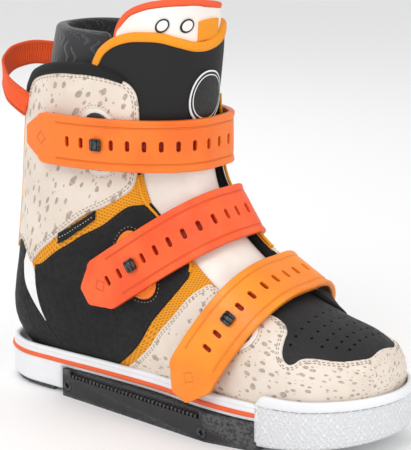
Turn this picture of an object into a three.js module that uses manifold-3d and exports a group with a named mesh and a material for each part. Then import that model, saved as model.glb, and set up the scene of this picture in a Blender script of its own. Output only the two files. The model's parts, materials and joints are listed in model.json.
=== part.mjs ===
// A right-foot strapped riding boot: a cupsole on a railed base, a panelled shell, a padded liner,
// a tongue with a fold-down shin flap, and three rubber straps that hook on posts.
// Millimetres. +X points to the toe, -Y to the outer (lateral) side, +Z up.
// Shapes are worked out from the sole's underside at height 0, and the whole boot is lifted by railDrop at the end.
import * as THREE from "three";
import { mergeVertices } from "three/addons/utils/BufferGeometryUtils.js";
import Module from "manifold-3d";

const wasm = await Module();
wasm.setup();

// ---------- driving dimensions ----------
const lengthScale = 1; // stretches every length along the boot
const widthScale = 1; // stretches every width across the boot
const fit = 0.3; // clearance between pieces that touch
const shellThickness = 2.6;
const tongueThickness = 3;
const linerThickness = 8;
const linerTongueThickness = 4.4;
const flapLift = 7; // how far the medial lace edge stands off the tongue
const soleHeelHeight = 27;
const soleToeHeight = 29.5;
const toeSpring = 9;
const toeSpringStart = 40;
const soleTaper = 1;
const soleEdgeRadius = 2;
const solePoints = 56; // points round the sole's outline
const midsoleThickness = 3.2;
const midsoleFloor = 3.4;
const treadThickness = 2.4;
const stripeBand = 4;
const stripeProud = 0.9;
const bumperProud = 1.6;
const bumperRear = 66;
const bandGap = 0.2; // from the sole's widest outline to the back of the stripe and the bumper
const railDrop = 3.5; // how far the rails and the base plate reach below the sole
const railHeight = 19.3;
const railDepth = 9;
const railRear = -86;
const railFront = 48;
const railBlockLength = 37;
const toothPitch = 3.5;
const toothCount = 34;
const toothSize = { length: 1.8, depth: 1.6, height: 2.2 };
const screwRadius = 4.2;
const screwLength = 2.6;
const screwSink = 3; // depth of the hole that a screw's head sits in
const socketRadius = 1.9;
const strapThickness = 4;
const strapStandoff = 5.8; // from the shell's outside to the middle of a strap
const slotPitch = 11;
const slotSize = { length: 6.8, width: 9.4 };
const postSize = { length: 3.2, width: 7.4, proud: 3.2 };
const postShift = 1.3; // from a slot's middle to its post, towards the strap's hinge: the tail then lifts off it
const hookPlate = { length: 46, width: 28 };
const loopWidth = 17;
const loopThickness = 2;
const foldAboveRim = 1.6; // from the shell's rim up to the line where the shin flap folds
const foldGap = 0.5;
const footbedThickness = 4;

// ---------- the boot's surface ----------
// Sections from the toe tip (first row) over the instep and the heel to the top of the shaft (last row). Each is a
// flat slice across the boot: its front or top point, its back or bottom point, its half-width on each side, how
// square its front and back halves are, and where it is widest.
const sectionRows = [
  { front: [151, 46], back: [151, 34], lateral: 6, medial: 7, square: [2, 2], widest: 0.5 },
  { front: [148.5, 56], back: [148.5, 24], lateral: 16, medial: 21, square: [2.2, 2.2], widest: 0.45 },
  { front: [142, 65], back: [142, 16], lateral: 28.5, medial: 34.5, square: [2.3, 2.5], widest: 0.42 },
  { front: [126, 73], back: [126, 12], lateral: 42, medial: 43.5, square: [2.2, 2.8], widest: 0.42 },
  { front: [104, 79], back: [104, 10.5], lateral: 50, medial: 47, square: [2.1, 3], widest: 0.42 },
  { front: [80, 88], back: [78, 9.5], lateral: 51, medial: 47, square: [2.1, 3.2], widest: 0.4 },
  { front: [60, 99], back: [48, 9], lateral: 48.5, medial: 45.5, square: [2.1, 3.4], widest: 0.38 },
  { front: [41, 112], back: [14, 9], lateral: 44.5, medial: 43, square: [2.15, 3.6], widest: 0.38 },
  { front: [25, 128], back: [-25, 9], lateral: 41, medial: 40, square: [2.2, 3.8], widest: 0.4 },
  { front: [14, 145], back: [-68, 9], lateral: 39, medial: 38.5, square: [2.3, 3.8], widest: 0.42 },
  { front: [9, 162], back: [-115, 10], lateral: 38.5, medial: 38, square: [2.3, 3.6], widest: 0.45 },
  { front: [8, 178], back: [-150, 36], lateral: 40, medial: 39, square: [2.3, 3], widest: 0.5 },
  { front: [9, 194], back: [-148, 85], lateral: 43, medial: 42, square: [2.3, 2.4], widest: 0.5 },
  { front: [11, 210], back: [-142, 130], lateral: 46, medial: 44, square: [2.3, 2.3], widest: 0.5 },
  { front: [13, 227], back: [-138, 172], lateral: 47, medial: 45, square: [2.3, 2.3], widest: 0.5 },
  { front: [15, 244], back: [-134, 206], lateral: 47, medial: 45, square: [2.3, 2.3], widest: 0.5 },
  { front: [17, 261], back: [-131, 232], lateral: 46, medial: 44, square: [2.3, 2.3], widest: 0.5 },
  { front: [19, 278], back: [-128, 258], lateral: 45, medial: 43, square: [2.3, 2.3], widest: 0.5 },
];
const rowValues = sectionRows.map((r) => [...r.front, ...r.back, r.lateral, r.medial, ...r.square, r.widest]);
const lastRow = rowValues.length - 1;

const clamp01 = (v) => Math.min(1, Math.max(0, v));
const smooth = (from, to, v) => {
  const t = clamp01((v - from) / (to - from));
  return t * t * (3 - 2 * t);
};
const lerp = (a, b, t) => a + (b - a) * t;

// The section's nine values at a station between rows, on a Catmull-Rom curve.
function sectionAt(station) {
  const s = Math.min(lastRow, Math.max(0, station));
  const i = Math.min(lastRow - 1, Math.floor(s));
  const f = s - i;
  return rowValues[i].map((_, k) => {
    const p1 = rowValues[i][k];
    const p2 = rowValues[i + 1][k];
    const p0 = i > 0 ? rowValues[i - 1][k] : 2 * p1 - p2;
    const p3 = i < lastRow - 1 ? rowValues[i + 2][k] : 2 * p2 - p1;
    const bend = 2 * p0 - 5 * p1 + 4 * p2 - p3;
    const twist = 3 * p1 - p0 - 3 * p2 + p3;
    return 0.5 * (2 * p1 + (p2 - p0) * f + bend * f ** 2 + twist * f ** 3);
  });
}

// A point of the boot's surface: station along the boot, angle round it in degrees (0 front or top, 180 back or
// bottom, negative on the lateral side), and depth below the surface.
function surface(station, angle, depth = 0) {
  const [fx, fz, bx, bz, lateral, medial, squareFront, squareBack, widest] = sectionAt(station);
  const cx = lerp(bx, fx, widest);
  const cz = lerp(bz, fz, widest);
  const c = Math.cos(THREE.MathUtils.degToRad(angle));
  const q = Math.sin(THREE.MathUtils.degToRad(angle));
  const [ex, ez] = c >= 0 ? [fx - cx, fz - cz] : [bx - cx, bz - cz];
  const reach = Math.hypot(ex, ez);
  const power = 2 / (c >= 0 ? squareFront : squareBack);
  const r = Math.max(reach - depth, 0.1) * Math.abs(c) ** power;
  const halfWidth = (q < 0 ? lateral : medial) * widthScale - depth;
  const y = Math.sign(q) * Math.max(halfWidth, 0.1) * Math.abs(q) ** power;
  const tip = depth * Math.max(0, 1 - station / 4);
  return new THREE.Vector3((cx + (ex / reach) * r - tip) * lengthScale, y, cz + (ez / reach) * r);
}

// The medial lace edge of the shell stands off the tongue.
function shellLift(station, angle) {
  if (angle <= 0) return 0;
  const along = smooth(4, 6, station) * (1 - smooth(11, 13.5, station));
  return flapLift * along * smooth(5, 30, angle) * (1 - smooth(55, 90, angle));
}
const shell = (s, a, depth = 0) => surface(s, a, depth - shellLift(s, a));

// Depths of the layers inside the shell.
const tongueDepth = shellThickness + fit;
const tongueInner = tongueDepth + tongueThickness;
function linerDepth(station, angle) {
  const side = smooth(88, 112, Math.abs(angle));
  const pulledIn = 15 * smooth(11.6, 14.4, station) * Math.max(0, -Math.cos(THREE.MathUtils.degToRad(angle)));
  return lerp(tongueInner + 3 * fit, shellThickness + fit, side) + pulledIn;
}

// ---------- solids ----------
function solid(geometry) {
  const g = geometry.clone();
  for (const name of Object.keys(g.attributes)) if (name !== "position") g.deleteAttribute(name);
  const merged = mergeVertices(g, 1e-4);
  return new wasm.Manifold(
    new wasm.Mesh({
      numProp: 3,
      vertProperties: new Float32Array(merged.attributes.position.array),
      triVerts: new Uint32Array(merged.index.array),
    }),
  );
}

function geometryOf(manifold) {
  const mesh = manifold.getMesh();
  const g = new THREE.BufferGeometry();
  const positions = new Float32Array(mesh.numVert * 3);
  for (let i = 0; i < mesh.numVert; i++) {
    positions.set(mesh.vertProperties.subarray(i * mesh.numProp, i * mesh.numProp + 3), i * 3);
  }
  g.setAttribute("position", new THREE.BufferAttribute(positions, 3));
  g.setIndex(new THREE.BufferAttribute(mesh.triVerts, 1));
  return g;
}

// The largest body of a solid: what a curved cut leaves over in slivers is dropped.
function mainBody(manifold) {
  const bodies = manifold.decompose();
  return bodies.reduce((best, b) => (b.volume() > best.volume() ? b : best), bodies[0]);
}

// A closed solid through rings of points. Its ends are fans, or ladders where a ring is two long sides close together.
// Where crossed() says so, a quad is split along its other diagonal: facets of layers that lie on each other then match.
function loft(rings, crossed = () => false, laddered = false) {
  const positions = [];
  const triangle = (a, b, c) => positions.push(...a.toArray(), ...b.toArray(), ...c.toArray());
  const count = rings[0].length;
  for (let k = 0; k + 1 < rings.length; k++) {
    for (let i = 0; i < count; i++) {
      const [a, b] = [rings[k][i], rings[k][(i + 1) % count]];
      const [d, c] = [rings[k + 1][i], rings[k + 1][(i + 1) % count]];
      if (crossed(k, i)) {
        triangle(a, b, d);
        triangle(b, c, d);
      } else {
        triangle(a, b, c);
        triangle(a, c, d);
      }
    }
  }
  const fan = (ring) => {
    const centre = ring.reduce((sum, p) => sum.add(p), new THREE.Vector3()).divideScalar(ring.length);
    return ring.map((p, i) => [centre, p, ring[(i + 1) % count]]);
  };
  const ladder = (ring) =>
    range(count / 2 - 1).flatMap((i) => [
      [ring[i], ring[i + 1], ring[count - 2 - i]],
      [ring[i], ring[count - 2 - i], ring[count - 1 - i]],
    ]);
  const cap = (ring, flip) => {
    for (const [a, b, c] of laddered ? ladder(ring) : fan(ring)) {
      if (flip) triangle(a, c, b);
      else triangle(a, b, c);
    }
  };
  cap(rings[0], true);
  cap(rings[rings.length - 1], false);
  const g = new THREE.BufferGeometry();
  g.setAttribute("position", new THREE.Float32BufferAttribute(positions, 3));
  const made = solid(g);
  if (made.volume() > 0) return made;
  const flipped = [];
  for (let i = 0; i < positions.length; i += 9) {
    flipped.push(...positions.slice(i, i + 3), ...positions.slice(i + 6, i + 9), ...positions.slice(i + 3, i + 6));
  }
  g.setAttribute("position", new THREE.Float32BufferAttribute(flipped, 3));
  return solid(g);
}

const range = (count) => Array.from({ length: count }, (_, i) => i);
const ringAngles = range(24).map((i) => -180 + 15 * i);
// Every layer has its facets at the same stations: close together at the toe and the heel, where the boot is round.
const ringStations = [0, 0.5, 1, 1.5, 2, 3, 4, 5, 6, 7, 8, 9, 10, 10.5, 11, 11.5, 12, 13, 14, 15, 16];
const leastStep = 0.12;
function stations(from, to) {
  const between = ringStations.filter((s) => s > from + leastStep && s < to - leastStep);
  return [from, ...between, to];
}

// A hollow layer of the boot, open at the top: outside up, inside down.
function layer(top, place, outer, inner) {
  const up = stations(0, top).map((s) => ringAngles.map((a) => place(s, a, outer(s, a))));
  const down = stations(0, top).map((s) => ringAngles.map((a) => place(s, a, inner(s, a)))).reverse();
  return loft([...up, ...down], (k) => k >= up.length);
}

// A curved plate between two stations and two angles. Its top station may change with the angle.
function patch(from, to, angles, outer, inner, place = surface) {
  const topAt = typeof to === "function" ? to : () => to;
  const fromAt = typeof from === "function" ? from : () => from;
  // The middle of the plate keeps the shared stations, and its first and last rows follow the edges.
  const lowest = Math.max(...angles.map(fromAt));
  const highest = Math.min(...angles.map(topAt));
  const inside = ringStations.filter((s) => s > lowest + leastStep && s < highest - leastStep);
  const column = (a, depth) => [fromAt(a), ...inside, topAt(a)].map((s) => place(s, a, depth));
  const sideLength = inside.length + 2;
  const rings = angles.map((a) => [...column(a, outer), ...column(a, inner).reverse()]);
  return loft(rings, (k, i) => i >= sideLength, true);
}

// A patch whose edges follow angle functions of the station.
function strip(from, to, angleFrom, angleTo, outer, inner, across = 4, place = surface) {
  return loft(
    stations(from, to).map((s) => {
      const angles = range(across + 1).map((i) => lerp(angleFrom(s), angleTo(s), i / across));
      return [...angles.map((a) => place(s, a, outer)), ...angles.reverse().map((a) => place(s, a, inner))];
    }),
    () => false,
    true,
  );
}

// A block with the given side view (points in x and z) between two heights across the boot.
function sideBlock(points, yFrom, yTo) {
  const shape = new THREE.Shape(points.map(([x, z]) => new THREE.Vector2(x * lengthScale, z)));
  const g = new THREE.ExtrudeGeometry(shape, { depth: yTo - yFrom, bevelEnabled: false });
  g.rotateX(Math.PI / 2);
  g.translate(0, yTo, 0);
  return solid(g);
}

// A block with the given plan (points in x and y) between two heights.
function planBlock(points, zFrom, zTo) {
  const shape = new THREE.Shape(points.map(([x, y]) => new THREE.Vector2(x, y)));
  const g = new THREE.ExtrudeGeometry(shape, { depth: zTo - zFrom, bevelEnabled: false });
  g.translate(0, 0, zFrom);
  return solid(g);
}

// Moves a closed outline's points inwards.
function inset(points, distance) {
  const turning = points.reduce((sum, [x, y], i) => {
    const [nx, ny] = points[(i + 1) % points.length];
    return sum + x * ny - nx * y;
  }, 0);
  return points.map(([x, y], i) => {
    const [px, py] = points[(i + points.length - 1) % points.length];
    const [nx, ny] = points[(i + 1) % points.length];
    const t = new THREE.Vector2(x - px, y - py).normalize().add(new THREE.Vector2(nx - x, ny - y).normalize()).normalize();
    const side = Math.sign(turning) * distance;
    return [x - t.y * side, y + t.x * side];
  });
}

const boot = new THREE.Group();
const colours = {
  cream: 0xe6dacb,
  black: 0x1e1e1e,
  graphite: 0x333131,
  white: 0xe8e8ea,
  yellow: 0xf9a01b,
  orange: 0xf97f24,
  coral: 0xff6a32,
  amber: 0xffa02b,
  steel: 0x3a3c40,
};
function add(name, manifold, colour, roughness = 0.7, metalness = 0) {
  const material = new THREE.MeshStandardMaterial({ color: colours[colour], roughness, metalness });
  const mesh = new THREE.Mesh(geometryOf(mainBody(manifold)), material);
  mesh.name = name;
  boot.add(mesh);
}

// ---------- sole ----------
// Plan of the sole from the heel along the lateral side, round the toe and back along the medial side.
const solePlan = [
  [-155, 0], [-148, -22], [-128, -35], [-95, -38.5], [-50, -40.5], [0, -44.5], [45, -52.5], [85, -54.5],
  [120, -48.8], [143, -32.5], [155, -3], [152, 22], [135, 42], [103, 50.5], [60, 49.5], [10, 43.5],
  [-50, 39.5], [-95, 37.8], [-128, 34.5], [-148, 21],
];
const soleCurve = new THREE.CatmullRomCurve3(
  solePlan.map(([x, y]) => new THREE.Vector3(x * lengthScale, y * widthScale, 0)),
  true,
  "centripetal",
);
const soleOutline = soleCurve.getSpacedPoints(solePoints).slice(0, -1).map((p) => [p.x, p.y]);
const springAt = (x) => toeSpring * Math.max(0, (x / lengthScale - toeSpringStart) / 115) ** 2;
const soleTopAt = (x) => lerp(soleHeelHeight, soleToeHeight, clamp01((x / lengthScale + 155) / 310));

// A ring of the sole: its outline moved inwards, at a share of the wall's height.
function soleRing(distance, share, raise = 0) {
  return inset(soleOutline, distance).map(([x, y]) => {
    const z = lerp(springAt(x), soleTopAt(x), share) + raise;
    return new THREE.Vector3(x, y, z);
  });
}
const foot = loft(stations(0, 13).map((s) => ringAngles.map((a) => surface(s, a, -fit))));

// Rail geometry in plan: the rear and front corners of the outer face on the lateral side, mirrored for the medial.
const railSides = {
  lateral: { sign: -1, rear: 40.5, front: 56 },
  medial: { sign: 1, rear: 39.5, front: 54 },
};
const railTop = railHeight - railDrop;
function railPlan({ sign, rear, front }, grow) {
  const frontEnd = railFront + railBlockLength;
  const outline = [
    [railRear - grow, (rear + grow) * sign],
    [railFront, (front + grow) * sign],
    [frontEnd + grow, (front - 5 + grow) * sign],
    [frontEnd + grow, (front - 5 - railDepth - grow) * sign],
    [railFront, (front - railDepth - grow) * sign],
    [railRear - grow, (rear - railDepth - grow) * sign],
  ].map(([x, y]) => [x * lengthScale, y * widthScale]);
  return sign < 0 ? outline : outline.reverse();
}
const railRecess = Object.values(railSides).map((side) => planBlock(railPlan(side, fit), -railDrop - 1, railTop + fit));

const midsoleOutline = inset(soleOutline, 9).filter(([x]) => x < 62 * lengthScale);
add("midsole", planBlock(midsoleOutline, midsoleFloor, midsoleFloor + midsoleThickness), "graphite", 0.9);

const cupBody = loft([soleRing(soleEdgeRadius, 0), soleRing(0, 0, soleEdgeRadius), soleRing(soleTaper, 1)]);
const midsoleShaft = planBlock(inset(midsoleOutline, -2 * fit), midsoleFloor - fit, soleHeelHeight / 2);
const cup = [foot, midsoleShaft.intersect(cupBody), ...railRecess].reduce((body, cut) => body.subtract(cut), cupBody);
add("sole_cup", cup, "white", 0.55);

const basePlan = [
  [railRear + 2, -30], [railFront, -44], [railFront + railBlockLength - 1, -40.5], [94, -30],
  [94, 30], [railFront + railBlockLength - 1, 38.5], [railFront, 42], [railRear + 2, 28.5],
].map(([x, y]) => [x * lengthScale, y * widthScale]);
add("base_plate", planBlock(basePlan, -railDrop, -fit), "graphite", 0.6);

const heelTread = planBlock(
  inset(soleOutline, soleEdgeRadius + 0.5).filter(([x]) => x < (railRear - 1) * lengthScale),
  -treadThickness,
  -fit,
);
add("heel_tread", heelTread, "black", 0.9);

for (const [name, side] of Object.entries(railSides)) {
  const { sign, rear, front } = side;
  const slope = ((front - rear) * widthScale) / ((railFront - railRear) * lengthScale);
  const faceAt = (x) => (rear * widthScale + (x - railRear * lengthScale) * slope) * sign;
  let rail = planBlock(railPlan(side, 0), -railDrop, railTop);
  // The ledge along the outer face, and the teeth that stand on it.
  const ledgeBottom = railTop - 5;
  const ledgeRear = (railRear + 8) * lengthScale;
  const ledgeFront = (railFront - 5) * lengthScale;
  const ledgeDepth = 2.6;
  const ledge = planBlock(
    [
      [ledgeRear, faceAt(ledgeRear) + 3 * sign],
      [ledgeFront, faceAt(ledgeFront) + 3 * sign],
      [ledgeFront, faceAt(ledgeFront) - ledgeDepth * sign],
      [ledgeRear, faceAt(ledgeRear) - ledgeDepth * sign],
    ],
    ledgeBottom,
    railTop + 1,
  );
  rail = rail.subtract(ledge);
  for (const i of range(toothCount)) {
    const x = ledgeRear + (i + 0.6) * toothPitch;
    if (x > ledgeFront - toothSize.length) continue;
    const tooth = new THREE.BoxGeometry(toothSize.length, toothSize.depth, toothSize.height + 0.4);
    tooth.rotateZ(Math.atan(slope) * sign);
    tooth.translate(x, faceAt(x) - (toothSize.depth / 2 + 0.1) * sign, ledgeBottom + toothSize.height / 2 - 0.2);
    rail = rail.add(solid(tooth));
  }
  // Two socket screws hold each rail.
  const screwPlaces = { rear: [railRear + 4.5, 4.5], front: [railFront - 3, 2] };
  for (const [end, [x, z]] of Object.entries(screwPlaces)) {
    const at = (geometry, depth) => {
      geometry.rotateZ(Math.atan(slope) * sign);
      return geometry.translate(x * lengthScale, faceAt(x * lengthScale) - depth * sign, z);
    };
    const hole = at(new THREE.CylinderGeometry(screwRadius + fit, screwRadius + fit, 2 * screwSink, 12), 0);
    rail = rail.subtract(solid(hole));
    const headMiddle = screwSink - fit - screwLength / 2;
    const head = at(new THREE.CylinderGeometry(screwRadius, screwRadius, screwLength, 12), headMiddle);
    const socket = at(new THREE.CylinderGeometry(socketRadius, socketRadius, 2, 6), headMiddle - screwLength / 2);
    add(`${name}_rail_screw_${end}`, solid(head).subtract(solid(socket)), "steel", 0.4, 0.8);
  }
  add(`${name}_rail`, rail, "graphite", 0.6);
}

// The orange stripe and the toe bumper lie on the outside of the cup's wall.
function wallBand(shareLow, shareHigh, proud, keep) {
  const outline = inset(soleOutline, -bandGap);
  const outer = inset(soleOutline, -bandGap - proud);
  const chosen = range(outline.length).filter((i) => keep(soleOutline[i]));
  const start = chosen.findIndex((i, k) => k > 0 && i - chosen[k - 1] > 1);
  const ordered = start > 0 ? [...chosen.slice(start), ...chosen.slice(0, start)] : chosen;
  const level = ([x, y], share) => new THREE.Vector3(x, y, lerp(springAt(x), soleTopAt(x), share));
  return loft(
    ordered.map((i) => [
      level(outline[i], shareLow),
      level(outer[i], shareLow),
      level(outer[i], shareHigh),
      level(outline[i], shareHigh),
    ]),
  );
}
const inBumper = ([x]) => x > bumperRear * lengthScale;
const bumper = railRecess.reduce((body, cut) => body.subtract(cut), wallBand(0.1, 0.9, bumperProud, inBumper));
add("toe_bumper", bumper, "white", 0.5);
const stripeTop = 0.8;
const stripeLow = stripeTop - stripeBand / soleHeelHeight;
add("sole_stripe", wallBand(stripeLow, stripeTop, stripeProud, (p) => !inBumper(p)), "coral", 0.6);

// ---------- shell panels ----------
const shellTop = 16;
let shellLayer = layer(shellTop, shell, () => 0, () => shellThickness);
// The lace opening's edges from the vamp to the top: station, degrees to the lateral and to the medial side.
const throatRows = [
  [5.3, 34, 22], [6, 42, 25], [7, 45, 27], [9.5, 46, 30], [10.4, 50, 33], [11.3, 54, 37], [13.4, 54.5, 40],
  [14.2, 60, 42], [17, 64, 44],
];
function throatEdge(column) {
  return (s) => {
    const i = Math.max(1, throatRows.findIndex((row) => row[0] >= s));
    const [a, b] = [throatRows[i - 1], throatRows[i]];
    return lerp(a[column], b[column], clamp01((s - a[0]) / (b[0] - a[0])));
  };
}
const lateralEdge = throatEdge(1);
const medialEdge = throatEdge(2);
const throat = strip(5.3, 17, (s) => -lateralEdge(s), medialEdge, -16, shellThickness + 1.2, 6);
shellLayer = shellLayer.subtract(throat);

// Seams of the shell in side view, each from front to back or from top to bottom.
const rimTop = [[30, 213], [5, 217], [-24, 225], [-43, 229], [-77, 229], [-112, 223], [-150, 219]];
const cuffTop = [[30, 208], [5, 212], [-27, 220], [-43, 223.5], [-77, 223], [-112, 217], [-150, 213]];
const cuffFront = [[30, 178], [4, 158], [-24, 149]];
const cuffBottom = [[-41.5, 138], [-66, 126], [-84, 113], [-104.7, 96.5], [-112, 91]];
const cuffHeel = [[-119, 94], [-129, 99], [-142, 104], [-170, 108]];
const bandBottom = [[14, 146], [-12, 141], [-31, 136], [-50, 122], [-84, 104], [-100, 92]];
const flashRear = [[-122, 85], [-113, 71], [-104, 63], [-97, 57.5]];
const flashFront = [[-107, 81], [-101, 69]];
const heelSeam = [[-97, 57.5], [-85.6, 46], [-74.6, 34], [-65, 20], [-62, -10]];
const quarterFront = [[40, 130], [24, 108], [21, 98], [8, 80], [-8, 61], [-26, 40], [-44, 24], [-52, 14], [-54, -10]];
const bandFront = [[58, 112], [36, 96], [23, 86], [9, 69], [-12, 46], [-37, 25], [-44, 14], [-46, -10]];
const vampEdge = [
  [61, 96], [66, 82], [86, 79], [91, 76], [96, 68], [98, 62], [103, 57.6], [107.5, 57], [111, 60.6], [119, 61.7], [133, 60], [144, 61], [160, 62],
];
const farUp = 260;
const backwards = (points) => [...points].reverse();

const panelOutlines = {
  cuff_rim: [...rimTop, ...backwards(cuffTop)],
  cuff: [...cuffTop, ...backwards(cuffHeel), ...backwards(cuffBottom), ...backwards(cuffFront)],
  mesh_band: [...cuffFront.slice(2), ...cuffBottom, ...backwards(bandBottom)],
  quarter: [
    ...bandBottom, ...cuffBottom.slice(-1), ...flashFront, ...heelSeam, ...backwards(quarterFront),
  ],
  flash: [...cuffBottom.slice(-1), ...flashFront, ...backwards(flashRear), ...backwards(cuffHeel.slice(0, 2))],
  heel_counter: [
    ...cuffHeel.slice(1), [-175, -10], ...backwards(heelSeam.slice(1)), ...backwards(flashRear),
  ],
  mesh_gusset: [...quarterFront, ...backwards(bandFront)],
  toe_vamp: [...vampEdge, [160, farUp], [61, farUp]],
  forefoot: [
    ...bandFront, [160, -10], ...backwards(vampEdge), [60, 114],
  ],
};
const seamGap = fit / 2;
const wide = 90;
const everywhere = [[-200, -50], [200, -50], [200, 400], [-200, 400]];
function panel(outline, side = "both") {
  const [low, high] = { lateral: [-wide, 0], medial: [0, wide], both: [-wide, wide] }[side];
  const seam = side === "both" ? [low, high] : [low + (low === 0 ? seamGap : 0), high - (high === 0 ? seamGap : 0)];
  return shellLayer.intersect(sideBlock(inset(outline, seamGap), ...seam));
}
const sidedPanels = {
  cuff: ["cream", "black"],
  mesh_band: ["yellow", "yellow"],
  quarter: ["black", "black"],
  flash: ["white", "white"],
  mesh_gusset: ["yellow", "yellow"],
};
for (const [name, [lateralColour, medialColour]] of Object.entries(sidedPanels)) {
  add(`${name}_lateral`, panel(panelOutlines[name], "lateral"), lateralColour);
  add(`${name}_medial`, panel(panelOutlines[name], "medial"), medialColour);
}
add("cuff_rim", panel(panelOutlines.cuff_rim), "black");
add("heel_counter", panel(panelOutlines.heel_counter), "black");
add("toe_vamp", panel(panelOutlines.toe_vamp), "black");
add("forefoot", panel(panelOutlines.forefoot), "cream");

// ---------- tongue, shin flap and liner ----------
const evenAngles = (from, to, step = 15) => range(Math.round((to - from) / step) + 1).map((i) => from + i * step);
const tongueTop = 11.5;
add("tongue", patch(5, tongueTop, evenAngles(-60, 60), tongueDepth, tongueInner), "cream", 0.35);

// The shin flap's top edge: a station for each angle.
const flapTopRows = [
  [-90, 15], [-75, 15.85], [-60, 15.85], [-45, 15.7], [-30, 15.4], [-15, 15.1], [0, 15.05],
  [15, 15.4], [30, 15.8], [45, 15.9], [60, 15.9], [75, 15.85], [90, 15],
];
const flapAngles = flapTopRows.map(([angle]) => angle);
const flapTop = (angle) => flapTopRows.find(([a]) => a === angle)[1];
// The flap folds just above the shell's rim.
const foldLine = (gap) => rimTop.map(([x, z]) => [x, z + foldAboveRim + gap]);
const aboveFold = sideBlock([...foldLine(foldGap), [-150, 400], [30, 400]], -wide, wide);
const belowFold = sideBlock([...foldLine(0), [-150, 0], [30, 0]], -wide, wide);
const flapBottom = tongueTop + 0.03;
const flap = patch(flapBottom, flapTop, flapAngles, tongueDepth, tongueInner);
add("shin_flap_base", flap.intersect(belowFold), "black", 0.8);
add("shin_flap", flap.intersect(aboveFold), "black", 0.8);
const bindingHeight = 0.3;
const bindingFrom = (a) => flapTop(a) + 0.02;
const binding = patch(
  bindingFrom,
  (a) => flapTop(a) + bindingHeight,
  flapAngles,
  tongueDepth,
  tongueInner + 0.1,
);
add("shin_flap_binding", binding, "yellow", 0.8);

const linerTop = 16;
const linerInner = (s, a) => linerDepth(s, a) + linerThickness;
const rimLine = [[-170, 247], [-60, 247], [-52, 245], [-50, 225], [-46, 196], [60, 196]];
const linerBody = layer(linerTop, surface, linerDepth, linerInner)
  .subtract(sideBlock([...rimLine, [60, 400], [-170, 400]], -wide, wide));
// The liner is sewn from two halves that meet along the boot's middle.
add("liner_lateral", linerBody.intersect(sideBlock(everywhere, -wide, -seamGap)), "black", 0.9);
add("liner_medial", linerBody.intersect(sideBlock(everywhere, seamGap, wide)), "black", 0.9);

// The liner's own tongue stands in the collar's open front, just behind the shin flap.
const linerTongueRows = [
  [-75, 16.6], [-60, 16.85], [-45, 16.8], [-30, 16.75], [-15, 16.7], [0, 16.55], [15, 16.5], [30, 16.5],
  [45, 16.5], [60, 16.4], [75, 16.2],
];
const linerTongueAngles = linerTongueRows.map(([angle]) => angle);
const linerTongueTop = (angle) => linerTongueRows.find(([a]) => a === angle)[1];
const linerTongueDepth = tongueInner + 0.5;
const linerTongueFrom = (a) => 13.1 + (0.9 * Math.abs(a)) / 75;
const linerTongue = patch(
  linerTongueFrom,
  linerTongueTop,
  linerTongueAngles,
  linerTongueDepth,
  linerTongueDepth + linerTongueThickness,
);
add("liner_tongue", linerTongue, "white", 0.6);
const linerTongueBinding = patch(
  (a) => linerTongueTop(a) + 0.02,
  (a) => linerTongueTop(a) + 0.22,
  linerTongueAngles,
  linerTongueDepth - 0.3,
  linerTongueDepth + linerTongueThickness + 0.3,
);
add("liner_tongue_binding", linerTongueBinding, "coral", 0.8);

// The footbed lies on the liner's bottom.
const bottomDepth = shellThickness + fit + linerThickness + fit;
add(
  "footbed",
  strip(3, 10, () => 150, () => 210, bottomDepth, bottomDepth + footbedThickness, 4),
  "graphite",
  0.9,
);

// ---------- hooks and straps ----------
// Each strap lies in a flat slice across the boot: its normal leans back by an angle from upright, and its middle
// is a distance along that normal. Stations are angles round the boot.
const straps = {
  upper: { lean: 0, offset: 179, width: 34, anchor: 78, hinge: -42, hook: -77.5, tail: 75, bend: 0.5, colour: "orange" },
  middle: { lean: 35, offset: 94, width: 36, anchor: 74, hinge: -33, hook: -72.5, tail: 46, bend: 0.1, colour: "coral" },
  lower: { lean: 62, offset: -16.3, width: 35, anchor: 64, hinge: -22, hook: -57, tail: 62, bend: 0.62, colour: "amber" },
};

function strapFrame({ lean, offset }) {
  const rad = THREE.MathUtils.degToRad(lean);
  const normal = new THREE.Vector3(-Math.sin(rad), 0, Math.cos(rad));
  // The point where the slice meets the shell's outside at an angle, a given height above it.
  const pointAt = (angle, height) => {
    let [low, high] = [3.2, 15.5];
    for (let i = 0; i < 40; i++) {
      const middle = (low + high) / 2;
      if (shell(middle, angle, -height).dot(normal) < offset) low = middle;
      else high = middle;
    }
    return shell((low + high) / 2, angle, -height);
  };
  return { normal, pointAt };
}

// The room that the hooks' plates fill: from the shell's outside to the straps' underside, with a gap at each.
const aroundShell = (height) => loft(stations(3, 15.5).map((s) => ringAngles.map((a) => shell(s, a, -height))));
const underStrap = aroundShell(strapStandoff - strapThickness / 2 - 2 * fit).subtract(aroundShell(fit));

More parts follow.
